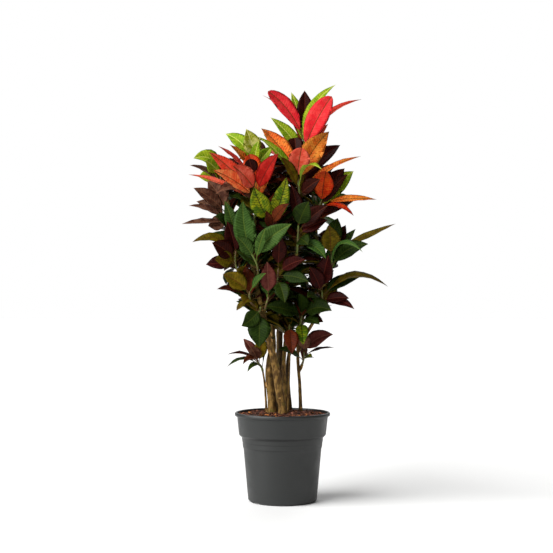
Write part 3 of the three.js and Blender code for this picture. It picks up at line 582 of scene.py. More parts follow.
def surfaced(tree, inputs, height=None, depth=0, strength=1):
    """Ends a material with its shader, bumped by depth millimetres where height is 1."""
    if height is not None:
        bump = {"Height": height, "Distance": depth * MM, "Strength": strength}
        inputs = {**inputs, "Normal": node(tree, "Bump", bump)[0]}
    node(tree, "OutputMaterial", {"Surface": node(tree, "BsdfPrincipled", inputs)[0]})


def layered(tree, colour, over, pattern, low, high, at_low, at_high):
    """The colour with another over it. The share of the other is a smooth step of a pattern, from
    at_low where the pattern is low or less to at_high."""
    share = node(tree, "MapRange", (pattern, low, high, at_low, at_high))[0]
    return node(tree, "Mix", {0: share, 6: colour, 7: over})[2]


def parts_of(tree, name):
    """The three numbers of a vector that the mesh holds for its points."""
    vector = node(tree, "Attribute", {}, attribute_name=name)["Vector"]
    return node(tree, "SeparateXYZ", (vector,))


def millimetres(tree, scale=(1, 1, 1)):
    """Object coordinates in millimetres, squeezed along each axis by scale."""
    place = node(tree, "TexCoord", {})["Object"]
    return node(tree, "Mapping", {"Vector": place, "Scale": [value / MM for value in scale]})[0]


def pot_material(settings):
    """Injection moulded polypropylene, dyed right through: a soft satin grey, a little lighter
    where the mould's fine grain catches the light, with faint rings of flow."""
    material, tree = new_material("moulded_grey_polypropylene")
    place = millimetres(tree)
    cloud = node(tree, "TexNoise", {"Vector": place, "Scale": 1 / 45})[0]
    colour = layered(tree, (*settings.colour, 1), "#222423", cloud, 0.35, 0.7, 0, 0.4)
    flow = millimetres(tree, (0.05, 0.05, 1))
    rings = node(tree, "TexNoise", {"Vector": flow, "Scale": 1 / 6, "Detail": 2})[0]
    colour = layered(tree, colour, "#161717", rings, 0.45, 0.75, 0, 0.18)
    # painted shade: the colour darkens under the collar and in the two creases of the rib band, where shadow
    # falls
    height = node(tree, "SeparateXYZ", (place,))[2]
    for crease, reach, strength in POT_PAINTED_SHADE_CREASES:
        above = node(tree, "Math", (height, crease), operation="SUBTRACT")[0]
        away = node(tree, "Math", (above,), operation="ABSOLUTE")[0]
        colour = layered(tree, colour, "#040404", away, 0.3 * reach, reach, strength, 0)
    satin = node(tree, "MapRange", (cloud, 0.3, 0.7, 0.42, 0.54))[0]
    # the grain is 0.3 mm on the pot, drawn at 1.6 mm because finer would not show
    grain = node(tree, "TexNoise", {"Vector": place, "Scale": 1 / 1.6, "Detail": 2})[0]
    surfaced(tree, {"Base Color": colour, "Roughness": satin, "IOR": 1.49}, grain, 0.12, 0.5)
    return material


# Tones of the bark chips, from crumbs and damp plates to split wood.
CHIP_TONES = ((0.18, "#140c08"), (0.46, "#351b12"), (0.7, "#613524"), (0.92, "#8e5b48"), (1, "#c4793a"))


def chip_material(settings):
    """Composted pine bark: matt red-brown plates, a few split ones showing orange wood, each with
    its own shade, and dark damp crumbs between them."""
    material, tree = new_material("composted_pine_bark")
    grain = {"Vector": millimetres(tree), "Scale": 1 / 3.5, "Detail": 5, "Roughness": 0.65}
    streak = node(tree, "TexNoise", grain)[0]
    level = node(tree, "Math", (streak, 0.35, parts_of(tree, "shade")[0]), operation="MULTIPLY_ADD")[0]
    tones = node(tree, "ValToRGB", (level,))[0]
    elements = tones.node.color_ramp.elements
    while len(elements) < len(CHIP_TONES):
        elements.new(0.5)
    for element, (at, code) in zip(elements, CHIP_TONES):
        element.position = at
        element.color = (*linear(code), 1)
    colour = node(tree, "Mix", {0: 0.2, 6: tones, 7: (*settings.bark_colour, 1)})[2]
    surfaced(tree, {"Base Color": colour, "Roughness": 0.9, "Specular IOR Level": 0.25}, streak, 0.9)
    return material


def bark_material(settings):
    """Young croton bark: thin and corky, tan where it is rubbed, with fissures along the stem,
    olive algae and pale scars where leaves and side shoots fell. Painted shade darkens the stems behind.

    The attribute of marks and painted shade is (knots, young wood, painted shade on the stems behind), each
    0 to 1.
    """
    material, tree = new_material("corky_croton_bark")
    plates, cracks, algae = (
        node(tree, "TexNoise", {
            "Vector": millimetres(tree, (1, 1, along)),
            "Scale": 1 / size,
            "Detail": detail,
            "Roughness": roughness,
        })[0]
        for along, size, detail, roughness in ((0.5, 11, 5, 0.6), (0.3, 3.2, 3, 0.6), (1, 22, 3, 0.55))
    )
    knots, young, painted_shade = parts_of(tree, "marks")
    colour = layered(tree, "#4c3410", (*settings.colour, 1), plates, 0.42, 0.62, 0, 1)
    colour = layered(tree, colour, "#2a1b0c", cracks, 0.3, 0.46, 0.6, 0)
    colour = layered(tree, colour, "#6a6420", algae, 0.55, 0.7, 0, 0.45)
    colour = layered(tree, colour, "#c99a5c", knots, 0.35, 0.8, 0, 0.85)
    # painted shade: the stems behind are darkened where the plant's shade falls on them; the upper wood is
    # younger and greener
    for mark, strength, over in ((painted_shade, 0.62, "#1e1408"), (young, 0.55, "#6f6a2c")):
        share = node(tree, "Math", (mark, strength), operation="MULTIPLY")[0]
        colour = node(tree, "Mix", {0: share, 6: colour, 7: over})[2]
    sunk = node(tree, "MapRange", (cracks, 0.3, 0.46, -0.7, 0))[0]
    relief = node(tree, "Math", (plates, sunk), operation="ADD")[0]
    surfaced(tree, {"Base Color": colour, "Roughness": 0.82, "Specular IOR Level": 0.3}, relief, 1.1)
    return material


def young_stem_material():
    """Green croton wood: smooth, waxy, olive with a red flush and pale breathing pores."""
    material, tree = new_material("green_croton_stem")
    place = millimetres(tree)
    flush = node(tree, "TexNoise", {"Vector": place, "Scale": 1 / 18})[0]
    colour = layered(tree, "#5c6a26", "#5a2a1c", flush, 0.42, 0.62, 0, 0.8)
    spots = node(tree, "TexNoise", {"Vector": place, "Scale": 1 / 1.5, "Detail": 1})[0]
    pores = node(tree, "MapRange", (spots, 0.66, 0.74, 0, 0.6))[0]
    colour = node(tree, "Mix", {0: pores, 6: colour, 7: "#a39a58"})[2]
    surfaced(tree, {"Base Color": colour, "Roughness": 0.5}, pores, 0.3)
    return material


# Colours of each finish: between the veins, its paler cloud, the side veins, the dark blotches
# and edge, and the midrib. Then the strength of the cloud, the veins, the dark between them, the
# blotches, the dark edge and the darker tip.
TINTS = {
    "red": ("#cc2a22", "#e04c40", "#a81814", "#4a0c08", "#4a3414", 0.7, 0.25, 0.08, 0.25, 0.4, 0.35),
    "coral": ("#d64634", "#ee6e58", "#bc3024", "#741c12", "#523c16", 0.7, 0.3, 0.05, 0.1, 0.25, 0.1),
    "salmon": ("#dc5a2c", "#f29a56", "#f2a070", "#84280f", "#5a3814", 0.75, 0.35, 0.05, 0.12, 0.25, 0.1),
    "flame": ("#b8280e", "#cc4c14", "#d65c24", "#54100a", "#461a0e", 0.75, 0.25, 0.05, 0.3, 0.35, 0.6),
    "crimson": ("#8c120c", "#a82218", "#7a0e0a", "#3c0806", "#4a140c", 0.7, 0.25, 0.05, 0.25, 0.35, 0.3),
    "orange": ("#cc5416", "#e08832", "#e8a650", "#3c1c0a", "#543a12", 0.7, 0.35, 0.08, 0.6, 0.5, 0.45),
    "lime": ("#66880c", "#a0ae24", "#bcc450", "#3c620c", "#c0c45c", 0.7, 0.3, 0.06, 0.1, 0.15, 0.1),
    "cream": ("#929a16", "#d8d47a", "#c8c66c", "#5a6c0c", "#dcd884", 0.9, 0.25, 0.05, 0.3, 0.3, 0.1),
    "mottled": ("#46600e", "#989814", "#14300a", "#14300a", "#221e0a", 0.75, 0.9, 0.05, 0.5, 0.35, 0.2),
    "green": ("#30491a", "#425f26", "#5a7838", "#18290a", "#566826", 0.6, 0.45, 0.12, 0.2, 0.2, 0.2),
    # moss: a dark green, darkened further to near black as partly painted shade for leaves in the plant's
    # shaded middle and low down
    "moss": ("#192707", "#293b0e", "#36461a", "#121c06", "#36400f", 0.6, 0.4, 0.1, 0.25, 0.2, 0.2),
    "olive": ("#483e06", "#6c590d", "#70601c", "#281e06", "#523010", 0.8, 0.25, 0.08, 0.4, 0.3, 0.3),
    "rust": ("#44190a", "#642c10", "#6c3c1a", "#2a1006", "#3c1a0a", 0.7, 0.25, 0.08, 0.35, 0.4, 0.3),
    "rosy": ("#52261e", "#6c3a30", "#44201a", "#260e0a", "#6e4434", 0.7, 0.3, 0.08, 0.25, 0.3, 0.3),
    "maroon": ("#260906", "#3a110b", "#4a1a12", "#140402", "#4e1e12", 0.6, 0.3, 0.05, 0.35, 0.3, 0.3),
    "mauve": ("#4a2c20", "#785440", "#341a14", "#20100b", "#785038", 0.8, 0.3, 0.08, 0.25, 0.3, 0.2),
}
PETIOLE_COLOURS = {"lime": "#8fa83a", "green": "#566c2a", "mottled": "#7a7c2c"}
UNDERSIDES = {
    "lime": "#8ca034", "green": "#40582a", "mottled": "#5c6c24", "coral": "#e87058", "orange": "#e48c44",
}


def leaf_material(tint, spacing):
    """Croton blade: leathery and waxy. Side veins leave the midrib at a slant every few
    millimetres, colour gathers along them or between them, and the skin puckers between them.

    The attribute leaf_mm is (across, along, chance) in millimetres and 0 to 1, and leaf_share is
    (share of the half width, share of the blade, 1 above and -1 below).
    """
    ground, pale, vein, dark, rib, cloudy, veined, banded, blotched, edged, tipped = TINTS[tint]
    material, tree = new_material(f"waxy_croton_leaf_{tint}")
    across, along, chance = parts_of(tree, "leaf_mm")
    aside, blade, face = parts_of(tree, "leaf_share")
    off_rib = node(tree, "Math", (across,), operation="ABSOLUTE")[0]
    # every leaf reads its own part of the noise
    lot = node(tree, "Math", (chance, 4000), operation="MULTIPLY")[0]
    own = node(tree, "CombineXYZ", (across, along, lot))[0]
    drift, cloud, blots, skin = (
        node(tree, "TexNoise", {"Vector": own, "Scale": 1 / size, "Detail": detail})[0]
        for size, detail in ((14, 3), (17, 3), (5.5, 2), (2.4, 2))
    )
    # 0 on a side vein and 0.5 half way to the next: (along + sway - 0.55 off the rib) / spacing
    sway = node(tree, "Math", (drift, 9, along), operation="MULTIPLY_ADD")[0]
    lean = node(tree, "Math", (off_rib, -0.55, sway), operation="MULTIPLY_ADD")[0]
    count = node(tree, "Math", (lean, spacing), operation="DIVIDE")[0]
    wave = node(tree, "Math", (count, 0.5), operation="PINGPONG")[0]
    colour = layered(tree, ground, pale, cloud, 0.38, 0.64, 0, cloudy)
    colour = layered(tree, colour, dark, wave, 0.2, 0.5, 0, banded)
    near = node(tree, "MapRange", (wave, 0.02, 0.17, 1, 0))[0]
    fading = node(tree, "MapRange", (aside, 0.75, 1, veined, 0.2 * veined))[0]
    on_vein = node(tree, "Math", (near, fading), operation="MULTIPLY")[0]
    colour = node(tree, "Mix", {0: on_vein, 6: colour, 7: vein})[2]
    # dark blotches, edge and tip, their borders ragged
    for ragged, weight, place, low, high, strength in (
        (blade, 0.1, blots, 0.6, 0.72, blotched),
        (cloud, 0.25, aside, 0.98, 1.12, edged),
        (cloud, 0.6, blade, 0.85, 1.35, tipped),
    ):
        there = node(tree, "Math", (ragged, weight, place), operation="MULTIPLY_ADD")[0]
        colour = layered(tree, colour, dark, there, low, high, 0, strength)
    colour = layered(tree, colour, rib, off_rib, 0.6, 1.8, 0.85, 0)
    colour = layered(tree, colour, UNDERSIDES.get(tint, ground), face, -0.2, 0.2, 0.7, 0)
    colour = layered(tree, colour, PETIOLE_COLOURS.get(tint, "#4c3a1c"), blade, -0.03, 0.03, 1, 0)
    # no two leaves have quite the same hue and value
    again = node(tree, "Math", (chance, 7.3), operation="MULTIPLY")[0]
    again = node(tree, "Math", (again,), operation="FRACT")[0]
    hue = node(tree, "MapRange", (again, 0, 1, 0.495, 0.505))[0]
    value = node(tree, "MapRange", (chance, 0, 1, 0.9, 1.1))[0]
    colour = node(tree, "HueSaturation", {"Hue": hue, "Value": value, "Color": colour})[0]
    wax = node(tree, "MapRange", (cloud, 0.3, 0.7, 0.36, 0.5))[0]
    # the skin swells between the veins and is sunk along the midrib
    swell = node(tree, "MapRange", (wave, 0, 0.5, 0, 1))[0]
    swell = node(tree, "Math", (skin, 0.35, swell), operation="MULTIPLY_ADD")[0]
    sunk = node(tree, "MapRange", (off_rib, 0.6, 1.8, -0.8, 0))[0]
    relief = node(tree, "Math", (swell, sunk), operation="ADD")[0]
    inputs = {"Base Color": colour, "Roughness": wax, "IOR": 1.42, "Specular IOR Level": 0.06}
    surfaced(tree, inputs, relief, 0.45, 0.7)
    return material


# ---- pot -------------------------------------------------------------------------------------

POT_OUTSIDE = (
    (0.6, 0), (58, 0), (61, FOOT_HEIGHT), (84, FOOT_HEIGHT), (87, 0), (BASE_RADIUS, 0), (98.6, 5),
    (111.5, RIB_BAND - 1), (112.6, RIB_BAND + 4), (113.8, RIB_BAND + 6.5), (114.7, RIB_BAND + 19),
    (115.6, RIB_BAND + 21.5), (116.5, COLLAR_FOOT - 1), (124.5, COLLAR_FOOT + 6), (130.3, 243),
)
POT_RIM = (
    (134.2, 243.6), (RIM_RADIUS, 245.6), (RIM_RADIUS, 250.5), (135, 253.6), (132, RIM_TOP),
    (129.6, 253.2),
)
POT_INSIDE = (
    (128.3, 242), (123.6, COLLAR_FOOT + 8), (114.8, COLLAR_FOOT - 3), (110, RIB_BAND), (97.7, 13),
    (95, NOTCH_HEIGHT + 4.5), (92, NOTCH_HEIGHT + FLOOR_THICKNESS),
    (88.5, NOTCH_HEIGHT + FLOOR_THICKNESS), (85.5, FOOT_HEIGHT + FLOOR_THICKNESS),
    (59.5, FOOT_HEIGHT + FLOOR_THICKNESS), (56.5, FLOOR_THICKNESS), (0.6, FLOOR_THICKNESS),
)

# Heights of the creases in the pot's outside, how far their painted shade reaches and its strength: the
# colour is darkened there, where shadow falls.
POT_PAINTED_SHADE_CREASES = ((COLLAR_FOOT + 1.5, 5, 0.95), (RIB_BAND + 5, 2, 0.65), (RIB_BAND + 20, 2, 0.65))


def prism(corners, low, high):
    """An upright prism between two heights on corners of (x, y), anticlockwise from above."""
    base = np.asarray(corners, float)
    ring = np.stack([np.c_[base, np.full(len(base), z)] for z in (low, high)])
    return loft(ring[None])


def make_pot(settings):
    """The pot's profile, its corners rounded, turned round Z, less its drain holes and notches."""
    wide, high = settings.rim_radius / MM / RIM_RADIUS, settings.height / MM / RIM_TOP
    profile = rounded((*POT_OUTSIDE, *POT_RIM, *POT_INSIDE), EDGE_ROUNDING) * (wide, high)
    pot = made_object("nursery_pot", [loft(revolved(profile, POT_SIDES))], [pot_material(settings)])
    cutters = []
    for azimuth in (np.arange(DRAIN_HOLES) + 0.5) * 2 * np.pi / DRAIN_HOLES:
        middle = DRAIN_CIRCLE * np.array([np.cos(azimuth), np.sin(azimuth)])
        cutters.append(prism(disc(middle, DRAIN_RADIUS, 24), -3 * FOOT_HEIGHT, 3 * FOOT_HEIGHT))
    for azimuth in np.radians(NOTCH_AZIMUTHS):
        out = np.array([np.cos(azimuth), np.sin(azimuth)])
        aside = np.array([-out[1], out[0]]) * NOTCH_WIDTH / 2
        near, far = out * (BASE_RADIUS - NOTCH_REACH), out * (BASE_RADIUS + NOTCH_REACH)
        corners = (near - aside, far - aside, far + aside, near + aside)
        cutters.append(prism(corners, -FLOOR_THICKNESS, NOTCH_HEIGHT))
    carved(pot, cutters, "drain_cutters")
    pot.data.set_sharp_from_angle(angle=math.radians(SHARP_EDGE))
    settled(pot, "pot")


# ---- soil ------------------------------------------------------------------------------------


# The soil's outside, from the middle of the pot's floor to below its rim.
SOIL_OUTSIDE = (
    (0.8, 2.8), (56, 2.8), (59, 8.8), (93.6, 8.8), (97.2, 13), (109.5, RIB_BAND), (114.3, 181),
    (123.1, 192), (127.8, 242),
)


def soil_height(radius, azimuth):
    """The mound crown - rise (r / R)^2, with lumps sin(3a + r/9) cos(2a - r/13) and crumbs."""
    mound = SOIL_CROWN - (SOIL_CROWN - SOIL_EDGE) * (radius / MOUND_RADIUS) ** 2
    lumps = np.sin(3 * azimuth + radius / 9) * np.cos(2 * azimuth - radius / 13)
    crumbs = np.sin(17 * azimuth + radius / 2.3) * np.sin(11 * azimuth - radius / 3.1)
    inside = ramp_up(radius, 0, 6) * ramp_up(-radius, 2 - MOUND_RADIUS, 16 - MOUND_RADIUS)
    return mound + (1.6 * lumps + 0.7 * crumbs) * inside


def chip_rings(settings, chance):
    """Bark chips: plates of three six-sided rings, 0.4 to 0.8 as wide as long, each tilted by the
    shear z + x sin(tilt) + y sin(lean), turned about Z and laid on the soil's height."""
    count = settings.chips
    radius = CHIP_SPREAD * np.sqrt(chance.uniform(0.0, 1, count))
    azimuth = chance.uniform(0, 2 * np.pi, count)
    long = settings.chip_length / MM * (0.4 + 1.2 * chance.beta(1.6, 3.2, count)) / 2
    wide = long * chance.uniform(0.4, 0.8, count)
    thick = chance.uniform(1.2, 3.2, count) / 2
    turn, tilt, lean = (chance.uniform(-1, 1, count) * reach for reach in (np.pi, 0.5, 0.5))
    ragged = chance.uniform(0.75, 1.2, (count, 1, CHIP_SIDES))
    lie = soil_height(radius, azimuth) + thick * 0.6 + long * np.abs(np.sin(tilt)) * 0.3
    middle_x, middle_y = radius * np.cos(azimuth), radius * np.sin(azimuth)
    long, wide, thick, turn, tilt, lean, lie, middle_x, middle_y = (
        values[:, None, None]
        for values in (long, wide, thick, turn, tilt, lean, lie, middle_x, middle_y)
    )
    around = turned(CHIP_SIDES)
    swell, level = np.array([0.82, 1, 0.8])[:, None], np.array([-1, 0.2, 1])[:, None]
    x = long * np.cos(around) * ragged * swell
    y = wide * np.sin(around) * ragged * swell
    z = thick * level + x * np.sin(tilt) + y * np.sin(lean) + lie
    cos, sin = np.cos(turn), np.sin(turn)
    return np.stack([x * cos - y * sin + middle_x, x * sin + y * cos + middle_y, z], axis=-1)


def make_soil(settings, stems):
    """The soil: its outside turned round Z, its top a field of heights, less a hole for each stem,
    and the bark chips on it."""
    radii = np.linspace(SOIL_WALL, SOIL_OUTSIDE[0][0], 46)
    profile = np.vstack([SOIL_OUTSIDE, np.c_[radii, np.full(len(radii), SOIL_EDGE)]])
    rings = revolved(profile, POT_SIDES)
    top = rings[0, len(SOIL_OUTSIDE) :]
    top[..., 2] = soil_height(np.hypot(top[..., 0], top[..., 1]), np.arctan2(top[..., 1], top[..., 0]))
    chance = np.random.default_rng(SEED)
    crumbs = chance.uniform(0.05, 0.5, (*rings.shape[:3], 1)) * np.ones(3)
    material = chip_material(settings)
    soil = made_object("bark_soil", [loft(rings, shade=crumbs)], [material])
    holes = [
        prism(disc(stem["foot"], stem["radius"][0] - TOUCHING, 16), STEM_FOOT, STEM_STRAIGHT)
        for stem in stems.values()
    ]
    carved(soil, holes, "stem_cutters")
    settled(soil, "soil")

    chips = chip_rings(settings, chance)
    shades = chance.beta(1.3, 1.8, (len(chips), 1, 1, 1)) * np.ones(3)
    parts = [loft(chips, shade=shades)]
    settled(made_object("bark_chips", parts, [material], flat=True), None)


# ---- woody stems -----------------------------------------------------------------------------


def bark_limb(points, radii, sides, chance, foot_flare):
    """A limb's rings: a radius from foot to end, times 1 + ribs + knots + flare, round its path.

    Ribs are low waves in the angle that drift along the limb. A knot is a bump
    exp(-(ds / a)^2 - (r da / b)^2) at a random place, and its centre is marked as a scar.
    """
    path = smooth_path(points, 8)
    angles = turned(sides)
    run = np.r_[0, np.cumsum(np.linalg.norm(np.diff(path, axis=0), axis=1))][:, None]
    share = np.linspace(0, 1, len(path))[:, None]
    base = mixed(radii[0], radii[1], share)
    drift = chance.uniform(0, 2 * np.pi, 3)
    ribs = 0.045 * np.sin(2 * angles + run / 37 + drift[0]) + 0.03 * np.sin(5 * angles - run / 23 + drift[1])
    ribs = ribs + 0.02 * np.sin(run / 6.5 + drift[2]) * np.sin(3 * angles + run / 11)
    knots = max(2, int(run[-1, 0] / KNOT_SPACING))
    at = chance.uniform(0.04, 1, knots) * run[-1, 0]
    facing = chance.uniform(0, 2 * np.pi, knots)
    size = chance.uniform(0.5, 1.15, knots)
    off = (angles[None, :, None] - facing + np.pi) % (2 * np.pi) - np.pi
    high = base[..., None] * 0.8 * size
    bumps = np.exp(-(((run[..., None] - at) / high) ** 2) - (off * base[..., None] / (0.7 * high)) ** 2)
    knotty = bumps.max(axis=-1)
    flare = 0.22 * foot_flare * np.exp(-np.abs(path[:, 2:] - SOIL_CROWN) / 9)
    radius = base * (1 + ribs + 0.17 * (bumps * size).sum(axis=-1) + flare)
    scars = knotty * (knotty > KNOT_SCAR)
    young = share * ramp_up(path[:, 2:], *YOUNG_WOOD) + 0 * knotty
    # painted shade: the bark of the stems behind is marked to be darkened, by their place from front to back
    painted_shade = ramp_up(path[:, 1:2], *STEMS_IN_PAINTED_SHADE) + 0 * knotty
    marks = np.stack([scars, young, painted_shade], axis=-1)
    return loft(tube(path, radius, angles)[None], marks=marks[None])


def make_stem(name, stem, material, chance):
    """A stem and its branches, each a bark tube, the branches' feet sunk in the stem."""
    x, y = stem["foot"]
    trunk = [(x, y, STEM_FOOT), (x, y, STEM_STRAIGHT), *stem["route"]]
    sides = THICK_SIDES if stem["radius"][0] > THICK_STEM else THIN_SIDES
    parts = [bark_limb(trunk, stem["radius"], sides, chance, 1)]
    for route in stem["branches"].values():
        parts.append(bark_limb(route, BRANCH_RADIUS, BRANCH_SIDES, chance, 0))
    settled(made_object(f"bark_{name}", parts, [material]), name)


# ---- leafy shoots ----------------------------------------------------------------------------


def shoot_axis(route, tip):
    """The three controls of a shoot's curve: its foot just past the limb's end, a bend straight
    on from the limb, and its tip."""
    end, before = np.array(route[-1], float), np.array(route[-2], float)
    heading = unit(end - before)
    start = end + heading * TOUCHING
    tip = np.array(tip, float)
    return start, start + heading * np.linalg.norm(tip - start) / 2, tip


def on_axis(axis, share):
    """Place on the quadratic curve a(1-s)^2 + 2bs(1-s) + cs^2."""
    s = np.asarray(share)[..., None]
    return axis[0] * (1 - s) ** 2 + axis[1] * 2 * s * (1 - s) + axis[2] * s**2


def leaf_foot(axis, share):
    """Place on the two straight lines that join the curve's foot, middle and tip."""
    ring = share * 2
    below = math.floor(ring)
    return mixed(on_axis(axis, below / 2), on_axis(axis, (below + 1) / 2), ring - below)


def shown_leaf(foot, row):
    """A leaf of the front, from its row: its chord is given by its tip."""
    x, y, z, width, arch, turn, finish, *own = row
    chord = np.array((x, y, z), float) - foot
    length = float(np.linalg.norm(chord))
    tint, _, form = finish.partition("_")
    return {
        "foot": foot, "azimuth": math.degrees(math.atan2(chord[1], chord[0])),
        "lift": math.degrees(math.asin(chord[2] / length)), "length": length, "width": width,
        "arch": arch, "turn": turn, "petiole": own[0] if own else PETIOLE_SHARE, "light": FRONT,
        "tint": tint, "blunt": BLUNT if form == "blunt" else 0.0,
    }


def fill_leaf(foot, shoot, number, chance):
    """A filling leaf: the golden angle on from the last, longer and lower down the shoot."""
    turn = math.radians(shoot["spin"] + GOLDEN_ANGLE * number)
    back = abs(math.sin(turn)) if shoot["leaves"] else math.sin(turn)
    length = min(FILL_LONGEST, FILL_SHORTEST + FILL_GROWTH * number)
    light = unit(np.array([foot[0], foot[1], 0.0]))
    tints = next(tints for low, tints in FILL_TINTS if foot[2] >= low)
    return {
        "foot": foot, "azimuth": math.degrees(math.atan2(back, math.cos(turn))),
        "lift": FILL_LIFT - FILL_DROP * number, "length": length, "width": FILL_SLENDER * length,
        "arch": FILL_ARCH, "turn": FILL_TURN, "petiole": PETIOLE_SHARE, "light": light,
        "tint": tints[chance.integers(len(tints))], "blunt": 0.0,
    }


def aimed(leaf, attempt):
    """The leaf with its chord and the direction of its arch, bent by its try from its own aim:
    by 2.6 sqrt(n) degrees towards the angle 137.5 n."""
    angle = math.radians(attempt * GOLDEN_ANGLE)
    reach = BEND_STEP * math.sqrt(attempt)
    azimuth = math.radians(leaf["azimuth"] + reach * math.cos(angle))
    lift = math.radians(leaf["lift"] + reach * math.sin(angle))
    flat = np.array([math.cos(azimuth), math.sin(azimuth), 0.0])
    chord = (flat * math.cos(lift) + UP * math.sin(lift)) * leaf["length"]
    return {**leaf, "chord": chord, "rise": UP * math.cos(lift) - flat * math.sin(lift)}


def as_framed(leaf, corners):
    """The leaf at the try whose tip is a corner of the frame's node, or None if none is."""
    tries = [aimed(leaf, attempt) for attempt in range(MOST_TRIES + 1)]
    tips = np.array([leaf["foot"] + tried["chord"] for tried in tries])
    gaps = np.linalg.norm(tips[:, None] - corners[None], axis=-1).min(axis=1)
    return tries[int(gaps.argmin())] if gaps.min() < TIP_ROOM else None


def shoot_leaves(name, shoot, axis, chance):
    """Every leaf that the frame's node holds, and more leaves on the side away from the front."""
    corners = np.array([v.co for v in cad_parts[f"shoot_{name}"].data.vertices], float) / MM
    count = len(shoot["leaves"]) + shoot["fills"]
    step = (FIRST_LEAF - LAST_LEAF) / max(1, count - 1)
    leaves = []
    for number in range(count):
        share = FIRST_LEAF - step * number
        foot = leaf_foot(axis, share)
        shown = number < len(shoot["leaves"])
        if shown:
            leaf = shown_leaf(foot, shoot["leaves"][number])
        else:
            leaf = fill_leaf(foot, shoot, number - len(shoot["leaves"]), chance)
        leaf = as_framed(leaf, corners)
        if leaf:
            leaves.append({**leaf, "fine": shown, "joint": on_axis(axis, share)})
    return leaves


def inner_leaf(axis, chance):
    """A short leaf that grows from anywhere on a shoot, more or less towards the plant's middle."""
    foot = on_axis(axis, chance.uniform(*INNER_PLACES))
    inwards = math.degrees(math.atan2(INNER_MIDDLE[1] - foot[1], INNER_MIDDLE[0] - foot[0]))
    length = chance.uniform(*INNER_LENGTHS)
    tints = next(tints for low, tints in INNER_TINTS if foot[2] >= low)
    leaf = {
        "foot": foot, "joint": foot, "azimuth": inwards + chance.normal(0, INNER_SWING),
        "lift": chance.uniform(*INNER_LIFTS), "length": length, "width": FILL_SLENDER * length,
        "arch": INNER_ARCH, "turn": FILL_TURN, "petiole": PETIOLE_SHARE,
        "light": unit(np.array([foot[0], foot[1], 0.0])),
        "tint": tints[chance.integers(len(tints))], "blunt": 0.0, "fine": False,
    }
    return aimed(leaf, 0)


def middle_line(leaf):
    """Places along a leaf: its foot, the chord and the rise of its arch."""
    share = np.linspace(0.3, 1, 5)[:, None]
    crest = 4 * leaf["arch"] * leaf["length"]
    return leaf["foot"] + leaf["chord"] * share + leaf["rise"] * crest * share * (1 - share)


def add_inner_leaves(groups, axes, each, chance):
    """Fills the hollows: of several leaves drawn at random, the one whose middle line keeps
    furthest from all the leaves so far is kept, shoot after shoot. None hides a shown leaf."""
    everything = [leaf for leaves in groups.values() for leaf in leaves]
    shown = np.vstack([middle_line(leaf) for leaf in everything if leaf["fine"]])
    taken = np.vstack([middle_line(leaf) for leaf in everything])
    for _ in range(each):
        for name, axis in axes.items():
            if axis[2][2] < INNER_LOWEST:
                continue
            drawn = [inner_leaf(axis, chance) for _ in range(INNER_DRAWN)]
            lines = np.array([middle_line(leaf) for leaf in drawn])
            gaps = np.linalg.norm((lines[:, :, None] - taken) * INNER_SEEN, axis=-1).min(axis=(1, 2))
            aside = np.linalg.norm((lines[:, :, None] - shown)[..., [0, 2]], axis=-1)
            before = lines[:, :, None, 1] < shown[:, 1]
            hiding = (before & (aside < INNER_ROOM)).any(axis=(1, 2))
            above = lines[..., 2] - INNER_LOWEST
            reach = np.clip(INNER_NECK + above * INNER_WIDENING, 0, INNER_REACH)
            wide = (np.abs(lines[..., 0] - INNER_MIDDLE[0]) > reach).any(axis=1)
            low = above.min(axis=1) < 0
            gaps[hiding | wide | low] = 0
            best = int(gaps.argmax())
            if gaps[best] > 0:
                groups[name].append(drawn[best])
                taken = np.vstack([taken, lines[best]])


def column(leaves, key):
    """One value of every leaf, as an array."""
    return np.array([leaf[key] for leaf in leaves], float)


